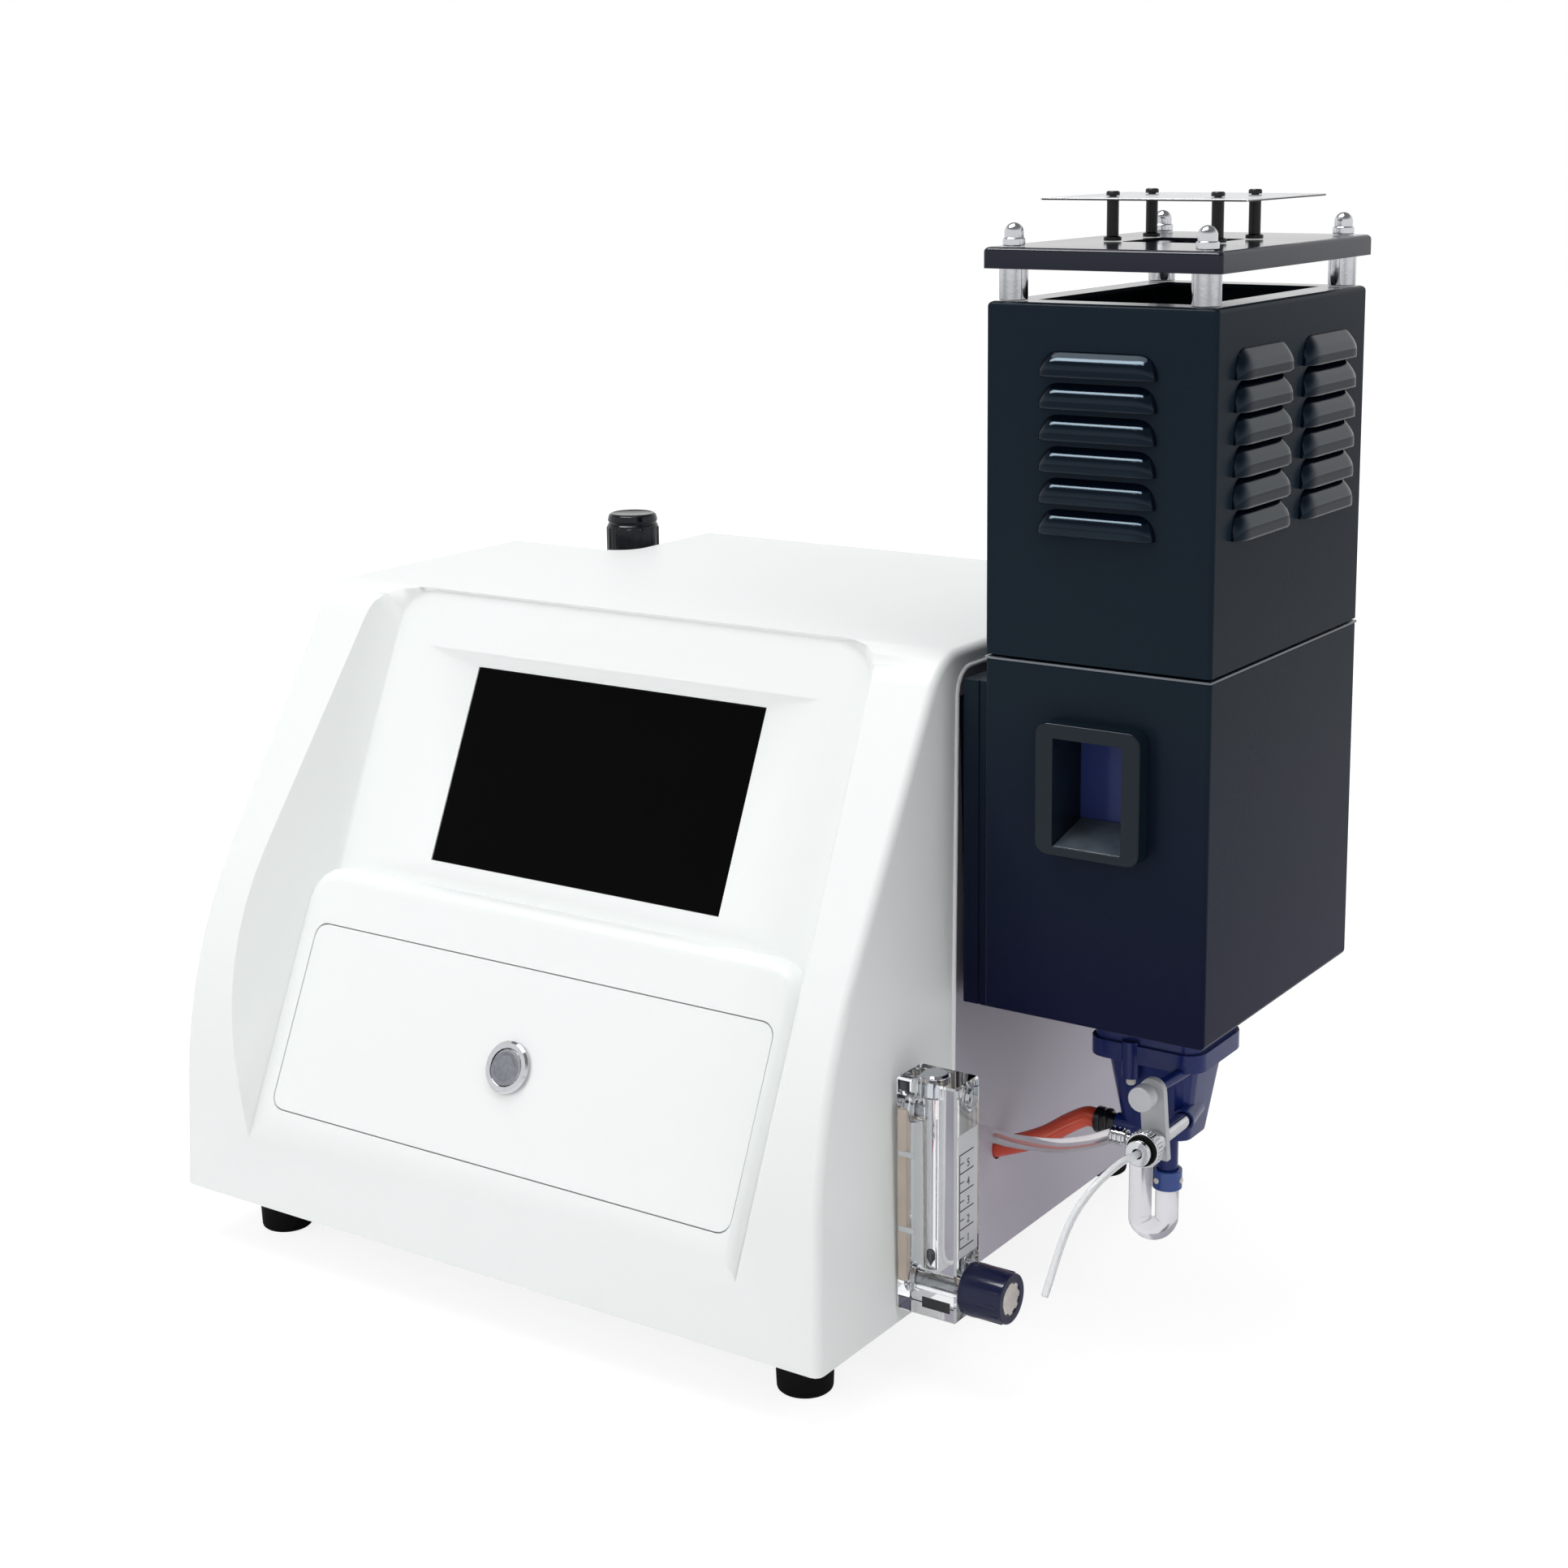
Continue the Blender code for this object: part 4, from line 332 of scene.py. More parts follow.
def merged(node, angle=0.5):
    """A copy of a CAD node with its doubles merged and its flat faces whole."""
    bm = bmesh.new()
    bm.from_mesh(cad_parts[node].data)
    bmesh.ops.remove_doubles(bm, verts=bm.verts, dist=weld)
    bmesh.ops.dissolve_limit(bm, angle_limit=math.radians(angle), verts=bm.verts, edges=bm.edges)
    return bm


def piece_from(bm, name, sharp=35):
    """A smooth shaded object at the origin from mesh data in progress."""
    data = bpy.data.meshes.new(name)
    bm.to_mesh(data)
    bm.free()
    data.materials.clear()
    data.shade_smooth()
    data.set_sharp_from_angle(angle=math.radians(sharp))
    piece = bpy.data.objects.new(name, data)
    scene.collection.objects.link(piece)
    return piece


def settle(piece):
    """Keep what the modifiers make as a plain mesh."""
    depsgraph = bpy.context.evaluated_depsgraph_get()
    data = bpy.data.meshes.new_from_object(piece.evaluated_get(depsgraph), preserve_all_data_layers=True,
                                           depsgraph=depsgraph)
    piece.modifiers.clear()
    piece.data = data
    return piece


def rounded(piece, width, segments=3, limit=50, method="ANGLE"):
    """Round the piece's sharp edges and shade it evenly."""
    if width:
        bevel = piece.modifiers.new("rounding", "BEVEL")
        bevel.width = width
        bevel.segments = segments
        bevel.limit_method = method
        bevel.angle_limit = math.radians(limit)
        bevel.harden_normals = True
    even = piece.modifiers.new("even_shading", "WEIGHTED_NORMAL")
    even.keep_sharp = True
    return settle(piece)


def dress(piece, material, slot, *nodes, body="instrument"):
    """Give a finished piece its material, its body, and the nodes it stands for."""
    piece.data.materials.clear()
    piece.data.materials.append(material)
    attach(piece, body)
    if nodes:
        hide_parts(*nodes)
    return piece


def skinned(node, material, slot, width=0.0, segments=3, limit=50, sharp=35, body="instrument"):
    """A node's own shape with rounded edges and even shading, in place of the node."""
    piece = rounded(piece_from(merged(node), node + "_skin", sharp), width, segments, limit)
    return dress(piece, material, slot, node, body=body)


def on_face(point):
    """A place measured across the display face, up its slope and out of it."""
    reach = point - face_foot
    return (reach.x, reach.y * math.sin(face_lean) + reach.z * math.cos(face_lean),
            reach.z * math.sin(face_lean) - reach.y * math.cos(face_lean))


def on_rim(point):
    """Whether a place lies on one of the recess's flared walls, ahead of its panel."""
    side, slope, rise = on_face(point)
    wall = abs(abs(side) - recess_half - recess_flare * rise) < rim_match
    head = abs(slope - recess_head - recess_flare * rise) < rim_match
    return rise > rim_start and (wall or head)


shell = merged("housing_cover")
weights = shell.edges.layers.float.new("bevel_weight_edge")
for edge in shell.edges:
    if len(edge.link_faces) == 2 and edge.calc_face_angle_signed(0) > rim_angle:
        if all(on_rim(vert.co) for vert in edge.verts):
            edge[weights] = 1
white_shell = surface("white_shell", (0.84, 0.86, 0.86), (0.81, 0.84, 0.83), 0.40, patch=0.12, grain=0.0009,
                      height=0.00002, Specular_IOR_Level=0.35)
cover = rounded(piece_from(shell, "housing_cover_skin"), rim_rounding, 4, method="WEIGHT")
dress(cover, white_shell, "white_shell", "housing_cover")


# Side and base plates
# Powder coated and zinc plated sheet. The side panel lies in the cover's side opening with a pale
# rolled edge and laps over the cover's foot. The rear panel is held by pan head screws.
# The side panel's grey-violet and its darker top are painted shadow and reflection of the chimney.
panel_painted_shade = surface("panel_painted_shade", (0.34, 0.32, 0.38), (0.31, 0.29, 0.35), 0.46, patch=0.16, grain=0.0007,
                      height=0.00003, foot=(0.55, 0.52, 0.60), foot_z=0.07, head_z=0.15,
                      Specular_IOR_Level=0.3)
edge_paint = surface("edge_paint", (0.93, 0.93, 0.94), (0.90, 0.90, 0.91), 0.25, patch=0.02, grain=0.0009,
                     height=0.00001)
bead_radius = 0.0010
bead_rise = 0.0012
edge_zone = 0.003
plane_match = 0.0003
skirt_line = ((-0.0040, 0), (0.0002, 0), (0.0001, 0.0066), (-0.0016, 0.0150), (-0.0040, 0.0150))
zinc = surface("zinc", (0.62, 0.62, 0.63), (0.52, 0.53, 0.55), 0.36, patch=0.012, change=0.14, grain=0.0005,
               stretch=(1, 1, 12), Metallic=1.0)
screw_radius = 0.0027
screw_head = 0.0014
screw_inset = 0.006


def lathe(name, outline, place=(0, 0, 0), axis=(0, 0, 1), steps=64):
    """A turned piece: the outline gives radius and height, from the axis round to the axis."""
    bm = bmesh.new()
    stand = Vector((0, 0, 1)).rotation_difference(Vector(axis)).to_matrix()
    rings = []
    for radius, height in outline:
        angles = range(steps) if radius > weld else range(1)
        rings.append([bm.verts.new(Vector(place) + stand @ Vector(
            (radius * math.cos(2 * math.pi * i / steps), radius * math.sin(2 * math.pi * i / steps), height)))
            for i in angles])
    for low, high in zip(rings, rings[1:]):
        for i in range(steps if max(len(low), len(high)) > 1 else 0):
            j = i + 1
            corners = [low[i % len(low)], low[j % len(low)], high[j % len(high)], high[i % len(high)]]
            bm.faces.new(list(dict.fromkeys(corners)))
    bmesh.ops.recalc_face_normals(bm, faces=bm.faces)
    return piece_from(bm, name)


def repeat_tree():
    """Repeats a piece along a row of rows, turning it step by step."""
    tree = bpy.data.node_groups.new("repeat", "GeometryNodeTree")
    sockets(tree, "INPUT", "Geometry", "Geometry")
    sockets(tree, "INPUT", "Object", "Piece")
    sockets(tree, "INPUT", "Vector", "Start", "Step", "Row step", "Turn")
    sockets(tree, "INPUT", "Int", "Count", "Rows")
    sockets(tree, "INPUT", "Material", "Material")
    sockets(tree, "OUTPUT", "Geometry", "Geometry")
    node = node_maker(tree)
    given = node("NodeGroupInput")
    result = node("NodeGroupOutput")
    line = node("GeometryNodeMeshLine")
    rows = node("GeometryNodeMeshLine")
    source = node("GeometryNodeObjectInfo")
    grid = node("GeometryNodeInstanceOnPoints")
    points = node("GeometryNodeRealizeInstances")
    index = node("GeometryNodeInputIndex")
    spin = node("ShaderNodeVectorMath", operation="SCALE")
    rotation = node("FunctionNodeEulerToRotation")
    copies = node("GeometryNodeInstanceOnPoints")
    whole = node("GeometryNodeRealizeInstances")
    paint = node("GeometryNodeSetMaterial")
    wire(tree, (
        (given, "Count", line, "Count"), (given, "Start", line, "Start Location"),
        (given, "Step", line, "Offset"), (given, "Rows", rows, "Count"), (given, "Row step", rows, "Offset"),
        (line, 0, grid, "Points"), (rows, 0, grid, "Instance"), (grid, 0, points, 0),
        (points, 0, copies, "Points"), (given, "Piece", source, "Object"),
        (source, "Geometry", copies, "Instance"), (given, "Turn", spin, 0), (index, 0, spin, "Scale"),
        (spin, 0, rotation, 0), (rotation, 0, copies, "Rotation"), (copies, 0, whole, 0),
        (whole, 0, paint, "Geometry"), (given, "Material", paint, "Material"), (paint, 0, result, 0)))
    return tree


repeat_group = repeat_tree()


def repeated(name, piece, material, start=(0, 0, 0), count=1, step=(0, 0, 0), rows=1, row_step=(0, 0, 0),
             turn=(0, 0, 0)):
    """Copies of a piece as one plain mesh. The pattern piece itself goes."""
    host = bpy.data.objects.new(name, bpy.data.meshes.new(name))
    scene.collection.objects.link(host)
    modifier = host.modifiers.new("repeat", "NODES")
    modifier.node_group = repeat_group
    values = {"Piece": piece, "Start": tuple(start), "Count": count, "Step": tuple(step), "Rows": rows,
              "Row step": tuple(row_step), "Turn": tuple(turn), "Material": material}
    for socket in repeat_group.interface.items_tree:
        if socket.in_out == "INPUT" and socket.name in values:
            modifier[socket.identifier] = values[socket.name]
    settle(host)
    bpy.data.objects.remove(piece)
    return host


def row_of(name, piece, material, slot, *where, body="instrument", **turning):
    """Copies of a piece, with their material and their body."""
    return dress(repeated(name, piece, material, *where, **turning), material, slot, body=body)


def block(name, low, high, width=0.0, segments=3):
    """A box between two corners, with rounded edges."""
    bm = bmesh.new()
    bmesh.ops.create_cube(bm, size=1)
    middle, size = (Vector(low) + Vector(high)) / 2, Vector(high) - Vector(low)
    for vert in bm.verts:
        vert.co = middle + Vector(a * b for a, b in zip(vert.co, size))
    return rounded(piece_from(bm, name), width, segments)


def prism(name, outline, reach, sharp=35):
    """A flat outline drawn along a straight reach."""
    bm = bmesh.new()
    bm.faces.new([bm.verts.new(point) for point in outline])
    drawn = bmesh.ops.extrude_face_region(bm, geom=list(bm.faces))["geom"]
    ends = [part for part in drawn if isinstance(part, bmesh.types.BMVert)]
    bmesh.ops.translate(bm, verts=ends, vec=reach)
    bmesh.ops.recalc_face_normals(bm, faces=bm.faces)
    return piece_from(bm, name, sharp)


def placed(node):
    """A node's middle, its half size, and its corners."""
    low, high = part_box(node)
    return (low + high) / 2, (high - low) / 2, low, high


def curve_mesh(name, line, radius):
    """A tube along a line, as a plain smooth mesh."""
    curve = tube(name + "_line", line, radius)
    depsgraph = bpy.context.evaluated_depsgraph_get()
    bm = bmesh.new()
    bm.from_mesh(bpy.data.meshes.new_from_object(curve.evaluated_get(depsgraph)))
    bmesh.ops.remove_doubles(bm, verts=bm.verts, dist=weld)
    bmesh.ops.recalc_face_normals(bm, faces=bm.faces)
    bpy.data.objects.remove(curve)
    return piece_from(bm, name, 50)


def rolled_edge(node):
    """The outline of the node's leaning outer face, from its front foot over its top to its rear foot."""
    points = [vert.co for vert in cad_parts[node].data.vertices]
    low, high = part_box(node)
    foot_x = max(point.x for point in points if point.z < low.z + edge_zone)
    head_x = max(point.x for point in points if point.z > high.z - edge_zone)
    slope = (foot_x - head_x) / (high.z - low.z)
    reach = max(point.x + slope * point.z for point in points)
    outer = [point for point in points if point.x + slope * point.z > reach - plane_match]
    order = convex_hull_2d([(point.y, point.z) for point in outer])
    line = [outer[i] + Vector((bead_rise, 0, 0)) for i in order]
    start = max(range(len(line)), key=lambda i: abs(line[i - 1].y - line[i].y) - line[i - 1].z - line[i].z)
    line = line[start:] + line[:start]
    return line if line[0].y < line[-1].y else line[::-1]


skinned("side_panel", panel_painted_shade, "white_sheet", width=0.0006)
dress(curve_mesh("panel_bead", rolled_edge("side_panel"), bead_radius), edge_paint, "white_sheet")
middle, half, low, high = placed("side_panel")
# The skirt over the cover's foot carries the same painted shade.
skirt = prism("panel_skirt", [(corner.x + x, low.y, corner.z + z) for x, z in skirt_line],
              (0, high.y - low.y, 0), 60)
dress(rounded(skirt, 0.0002, 2, 60), panel_painted_shade, "white_sheet")
skinned("base_plate", zinc, "zinc_sheet", width=0.0003)
skinned("rear_panel", zinc, "zinc_sheet", width=0.0003)
middle, half, low, high = placed("rear_panel")
screw_outline = [(0, screw_head * 0.45), (screw_radius * 0.25, screw_head * 0.45),
                 (screw_radius * 0.35, screw_head), (screw_radius * 0.7, screw_head * 0.9),
                 (screw_radius, screw_head * 0.4), (screw_radius, 0), (0, 0)]
head = lathe("screw_head", screw_outline, axis=(0, 1, 0), steps=32)
row_of("rear_screws", head, zinc, "zinc_sheet",
       (low.x + screw_inset, high.y, low.z + screw_inset), 3, (half.x - screw_inset, 0, 0), 2,
       (0, 0, 2 * (half.z - screw_inset)))


# Rubber feet
# Four moulded black rubber feet under the base plate, slightly tapered, with a rounded tread.
rubber = surface("foot_rubber", (0.0050, 0.0050, 0.0050), (0.0085, 0.0085, 0.0085), 0.60, patch=0.006,
                 grain=0.0004, height=0.00003, Specular_IOR_Level=0.06)
corners = ("front_left", "front_right", "rear_left", "rear_right")
for name in corners:
    middle, half, low, high = placed("foot_" + name)
    foot = lathe("foot_" + name + "_turned", [(0, 0), (half.x * 0.92, 0), (half.x, half.z * 1.6),
                                              (half.x, half.z * 2), (0, half.z * 2)],
                 (middle.x, middle.y, low.z))
    dress(rounded(foot, 0.0016), rubber, "black_rubber", "foot_" + name)


# Display
# A black glass panel bonded to its grey module, which is screwed behind the cover's pocket.
screen_black = surface("screen_black", (0.0010, 0.0010, 0.0012), (0.0016, 0.0016, 0.0018), 0.18, patch=0.04,
                       change=0.04, grain=0.004, height=0.000002, Specular_IOR_Level=0.03)
grey_plastic = surface("grey_plastic", (0.50, 0.51, 0.53), (0.45, 0.46, 0.49), 0.38, patch=0.010,
                       grain=0.0006, height=0.00002)
skinned("touch_glass", screen_black, "screen_glass", width=0.0002)
skinned("display_module", grey_plastic, "grey_plastic", width=0.0004)


# Insert plate and push button
# A white plate let into the cover, and a stainless push button: a polished bezel with a chamfer,
# a narrow dark gap, and a cap with a turned ring and a dished middle.
chrome = surface("chrome", (0.64, 0.65, 0.68), (0.54, 0.55, 0.58), 0.09, patch=0.004, change=0.06,
                 grain=0.0012, height=0.000006, Metallic=1.0)
brushed = surface("brushed_steel", (0.42, 0.43, 0.45), (0.30, 0.31, 0.33), 0.28, patch=0.003, change=0.20,
                  grain=0.0003, height=0.00002, stretch=(1, 8, 1), Metallic=1.0)
skinned("insert_plate", white_shell, "white_shell", width=0.0003)
skinned("button_bezel", chrome, "bright_metal", width=0.0003, sharp=30)
skinned("button_cap", brushed, "stainless", width=0.0003, sharp=30, body="start_button")
button_normal = Vector((0, -math.cos(face_lean), math.sin(face_lean)))
cap_points = [vert.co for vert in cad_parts["button_cap"].data.vertices]
cap_face = max(point.dot(button_normal) for point in cap_points)
cap_rim = [point for point in cap_points if point.dot(button_normal) > cap_face - 0.0002]
cap_middle = sum(cap_rim, Vector()) / len(cap_rim)
cap_disc = max((point - cap_middle).length for point in cap_rim)
disc_outline = [(0, 0.00005), (cap_disc * 0.52, 0.00012), (cap_disc * 0.60, 0.00035),
                (cap_disc * 0.68, 0.00012), (cap_disc * 0.80, 0.0001), (cap_disc * 0.82, -0.0002),
                (0, -0.0002)]
disc = lathe("button_disc", disc_outline, cap_middle, button_normal, 48)
disc_grey = surface("button_grey", (0.17, 0.18, 0.21), (0.32, 0.33, 0.36), 0.34, patch=0.0016, change=0.2,
                    grain=0.0009, height=0.00008, Metallic=0.8)
dress(rounded(disc, 0), disc_grey, "stainless", body="start_button")


# Lower flame chimney, its duct and the viewing window
# Folded black coated sheet. The duct carries it on the housing. The window is a moulded black frame
# with a sloping sill and a cobalt blue glass, through which the flame is watched.
# Towards its foot the black coat turns navy blue, a painted reflection.
black_coat = surface("black_coat", (0.0092, 0.0165, 0.0255), (0.0078, 0.0140, 0.0225), 0.24, patch=0.09,
                     change=0.05, grain=0.0008, height=0.00001, foot=(0.0048, 0.0062, 0.0265), foot_z=0.14,
                     head_z=0.27, Specular_IOR_Level=0.05)
# The frame's black is lifted to a blue-grey, a painted reflection.
window_black_painted_reflection = surface("window_black_painted_reflection", (0.0068, 0.0130, 0.0205), (0.0056, 0.0108, 0.0175), 0.11, patch=0.02,
                       grain=0.0009, height=0.000002, Specular_IOR_Level=0.20)
# The sill is black plastic. Its grey with paler patches is a painted reflection.
sill_painted_reflection = surface("sill_painted_reflection", (0.038, 0.052, 0.068), (0.120, 0.145, 0.170), 0.16, patch=0.010, change=0.1,
                    grain=0.0009, height=0.000004)
cobalt = surface("cobalt_glass", (0.037, 0.055, 0.205), (0.032, 0.049, 0.185), 0.12, patch=0.02, change=0.03,
                 grain=0.003, height=0.000002, Specular_IOR_Level=0.12)
sill_corners = ((0.0487, 0.0892, 0.19215), (0.0765, 0.0892, 0.19215), (0.0765, 0.1118, 0.19800),
                (0.0487, 0.1118, 0.19800))
sill_sheet = 0.0006
skinned("lower_chimney", black_coat, "black_coat", width=0.0004, segments=2)
skinned("mount_duct", black_coat, "black_coat", width=0.0005, segments=2)
skinned("window_frame", window_black_painted_reflection, "black_plastic", width=0.0009, segments=4, limit=40)
skinned("window_glass", cobalt, "cobalt_glass", width=0.0002)
sill = prism("window_sill", [corner + Vector(point) for point in sill_corners], (0, 0, -sill_sheet))
dress(rounded(sill, 0.0002, 2), sill_painted_reflection, "black_plastic")


# Upper flame chimney
# A box of folded black coated sheet with a flat rim at the top, and three columns of louvres pressed
# out of its front and right walls. It stands on the lower box's lip and lifts off.
sheet = 0.0015
fold = 0.0018
rim = 0.014
louvre_half = 0.02375
louvre_height = 0.0092
side_louvre_height = 0.0112
louvre_end = 0.0085
louvre_bulge = 0.0042
louvre_pitch = 0.01165
louvre_rows = 6
louvre_foot = corner.z + 0.3095
louvre_spread = 0.0303
slot_margin = 0.0025


def loop_box(name, loops, steps=6):
    """A closed piece between rounded rectangles, each with two corners, a radius and a height."""
    bm = bmesh.new()
    rings = []
    for low, high, radius, z in loops:
        ring = []
        near, far = (low[0] + radius, low[1] + radius), (high[0] - radius, high[1] - radius)
        for quarter, (x, y) in enumerate((far, (near[0], far[1]), near, (far[0], near[1]))):
            for i in range(steps + 1):
                angle = (quarter + i / steps) * math.pi / 2
                ring.append(bm.verts.new((x + radius * math.cos(angle), y + radius * math.sin(angle), z)))
        rings.append(ring)
    for low_ring, high_ring in zip(rings, rings[1:] + rings[:1]):
        for i in range(len(low_ring)):
            j = (i + 1) % len(low_ring)
            bm.faces.new((low_ring[i], low_ring[j], high_ring[j], high_ring[i]))
    bmesh.ops.remove_doubles(bm, verts=bm.verts, dist=weld / 10)
    bmesh.ops.recalc_face_normals(bm, faces=bm.faces)
    return piece_from(bm, name, 30)


def inset(low, high, by):
    """A rectangle drawn inward on all sides."""
    return (low[0] + by, low[1] + by), (high[0] - by, high[1] - by)


def ring_loops(inner, outer, radius, foot, head):
    """Loops of a flat ring between two rectangles."""
    return [(*inner, radius, foot), (*outer, radius, foot), (*outer, radius, head), (*inner, radius, head)]


def tray_loops(low, high, foot, head, wall, mouth, mouth_radius):
    """Loops of an open box of sheet with folded upper edges and a flat rim round its mouth."""
    turns = [math.pi / 8 * i for i in range(5)]
    folded = [(*inset(low, high, fold * (1 - math.cos(turn))), fold, head - fold * (1 - math.sin(turn)))
              for turn in turns]
    return ([(*inset(low, high, wall), fold, foot), (low, high, fold, foot)] + folded
            + [(*mouth, mouth_radius, head), (*mouth, mouth_radius, head - wall),
               (*inset(low, high, wall), fold, head - wall)])


def louvre_hood(height, across_steps=44, down_steps=14, wall=0.0008):
    """A pressed hood that faces -Y: round at its ends and its top, straight and open below."""
    bm = bmesh.new()
    rows = []
    for j in range(down_steps + 1):
        row = []
        for i in range(across_steps + 1):
            x = louvre_half * math.sin(math.pi * (i / across_steps - 0.5))
            end = max(0.0, (abs(x) - louvre_half + louvre_end) / louvre_end)
            rise = max(0.0, 1 - end ** 2.6) ** 0.45
            down = j / down_steps
            curve = math.sin(min(1.0, down * 1.45) * math.pi / 2) ** 0.95
            row.append(bm.verts.new((x, -louvre_bulge * curve * rise ** 0.8, height * rise * (1 - down))))
        rows.append(row)
    for high_row, low_row in zip(rows, rows[1:]):
        for i in range(across_steps):
            bm.faces.new((high_row[i], low_row[i], low_row[i + 1], high_row[i + 1]))
    bmesh.ops.remove_doubles(bm, verts=bm.verts, dist=weld)
    piece = piece_from(bm, "louvre_hood", 50)
    thick = piece.modifiers.new("thickness", "SOLIDIFY")
    thick.thickness = wall
    thick.offset = -1
    return settle(piece)


chimney_low, chimney_high = placed("lower_chimney")[2:]
chimney_middle = (chimney_low + chimney_high) / 2
upper_low, upper_high = placed("upper_chimney")[2:]
box_low, box_high = (chimney_low.x, chimney_low.y), (chimney_high.x, chimney_high.y)
columns = ((chimney_middle.x, box_low[1], 0, louvre_height),
           (box_high[0], chimney_middle.y - louvre_spread, math.pi / 2, side_louvre_height),
           (box_high[0], chimney_middle.y + louvre_spread, math.pi / 2, side_louvre_height))
upper = loop_box("upper_chimney_box", tray_loops(box_low, box_high, upper_low.z, upper_high.z, sheet,
                                                 inset(box_low, box_high, rim), 0.001))
cutters = []
hoods = []
for x, y, heading, height in columns:
    slot = block("slot", (-louvre_half + slot_margin, -sheet * 2, 0), (louvre_half - slot_margin, sheet * 2,
                 louvre_height * 0.6))
    hood = louvre_hood(height)
    for piece in (slot, hood):
        piece.data.transform(Matrix.Rotation(heading, 4, "Z"))
    cutters.append(repeated("slots", slot, None, (x, y, louvre_foot), louvre_rows, (0, 0, louvre_pitch)))
    hoods.append(repeated("louvres_%d" % len(hoods), hood, black_coat, (x, y, louvre_foot), louvre_rows,
                          (0, 0, louvre_pitch)))
for cutter in cutters:
    opening = upper.modifiers.new("slots", "BOOLEAN")
    opening.object = cutter
    opening.solver = "EXACT"
settle(upper)
for cutter in cutters:
    bpy.data.objects.remove(cutter)
# The blue specular tint paints the hoods' reflections and highlights blue.
gloss_coat = surface("gloss_coat", (0.0020, 0.0045, 0.0105), (0.0016, 0.0036, 0.0085), 0.10, patch=0.03,
                     change=0.03, grain=0.0012, height=0.0000005, Specular_IOR_Level=0.30,
                     Specular_Tint=(0.60, 0.82, 1.0, 1))
dress(rounded(upper, 0), black_coat, "black_coat", "upper_chimney", body="upper_chimney")
# A thin grey metallic ring round the top of the lower box is a painted highlight along the seam between the
# boxes.
seam_painted_highlight = surface("seam_painted_highlight", (0.20, 0.22, 0.25), (0.12, 0.13, 0.15), 0.25, patch=0.03, change=0.1,
                    Metallic=0.8)
highlight_foot, highlight_head = chimney_high.z - 0.0010, chimney_high.z - 0.0002
highlight_in, highlight_out = inset(box_low, box_high, 0.0006), inset(box_low, box_high, -0.00015)
highlight_ring = loop_box("seam_lip", ring_loops(highlight_in, highlight_out, 0.0006, highlight_foot, highlight_head))
dress(rounded(highlight_ring, 0), seam_painted_highlight, "black_coat")
for hood in hoods:
    dress(hood, gloss_coat, "black_coat", body="upper_chimney")


# Lid, posts and deflector
# A black coated tray with a square hole stands on four turned posts under polished domed nuts. A thin
# stainless deflector is held over the hole by four black spacers.
lid_low, lid_high = placed("chimney_lid")[2:]
lid_middle = (lid_low + lid_high) / 2
lid_sheet = 0.0012
hole_half = 0.018
lid_mouth = inset(lid_middle, lid_middle, -hole_half)
lid = loop_box("chimney_lid_tray", tray_loops(lid_low.xy, lid_high.xy, lid_low.z, lid_high.z, lid_sheet,
                                              lid_mouth, 0.003))
rim_out = inset(box_low, box_high, fold)
rim_in = inset(box_low, box_high, rim)
rim_foot, rim_head = upper_high.z - 0.0003, upper_high.z + 0.00005
lid_coat = surface("lid_coat", (0.0065, 0.0085, 0.0200), (0.0055, 0.0070, 0.0170), 0.14, patch=0.05,
                   grain=0.0008, height=0.000001, Specular_IOR_Level=0.30)
dress(rounded(lid, 0), lid_coat, "black_coat", "chimney_lid", body="upper_chimney")
rim_top = loop_box("chimney_rim", ring_loops(rim_in, rim_out, 0.001, rim_foot, rim_head))
dress(rounded(rim_top, 0), lid_coat, "black_coat", body="upper_chimney")
black_plastic = surface("black_plastic", (0.0045, 0.0045, 0.0060), (0.0080, 0.0080, 0.0100), 0.22,
                        patch=0.006, grain=0.0005, height=0.000008, Specular_IOR_Level=0.3)
for name in corners:
    middle, half, low, high = placed("lid_post_" + name)
    shoulder = lid_high.z - lid_sheet - 0.0003 - low.z
    stem = half.x * 0.42
    post_outline = [(0, 0), (half.x, 0), (half.x, shoulder), (stem, shoulder), (stem, half.z * 2),
                    (0, half.z * 2)]
    post = lathe("lid_post_" + name + "_turned", post_outline, (middle.x, middle.y, low.z))
    dress(rounded(post, 0.0003, 2), chrome, "turned_aluminium", "lid_post_" + name, body="upper_chimney")
    middle, half, low, high = placed("dome_nut_" + name)
    nut, dome = half.x, half.x * 0.86
    nut_outline = [(0, 0), (nut * 0.94, 0), (nut, nut * 0.08), (nut, nut * 0.56), (nut * 0.94, nut * 0.66),
                   (dome, nut * 0.7)]
    for i in range(8):
        turn = math.pi / 16 * i
        nut_outline.append((dome * math.cos(turn), half.z * 2 - dome + dome * math.sin(turn)))
    nut_outline.append((0, half.z * 2))
    dome_nut = lathe("dome_nut_" + name + "_turned", nut_outline, (middle.x, middle.y, low.z))
    dress(rounded(dome_nut, 0), chrome, "bright_metal", "dome_nut_" + name, body="upper_chimney")
    middle, half, low, high = placed("deflector_spacer_" + name)
    wide, slim, cap, tip = half.x, half.x * 0.68, half.x * 0.76, half.z * 2
    waist = slim * 0.62
    spacer_outline = [(0, 0), (wide, 0), (wide, 0.0014), (slim, 0.0018), (slim, tip - 0.0033),
                      (waist, tip - 0.0032), (waist, tip - 0.0018), (cap, tip - 0.0017), (cap, tip - 0.0004),
                      (cap * 0.8, tip), (0, tip)]
    spacer = lathe("deflector_spacer_" + name + "_turned", spacer_outline, (middle.x, middle.y, low.z),
                   steps=32)
    dress(rounded(spacer, 0.0001, 2), black_plastic, "black_plastic", "deflector_spacer_" + name,
          body="upper_chimney")
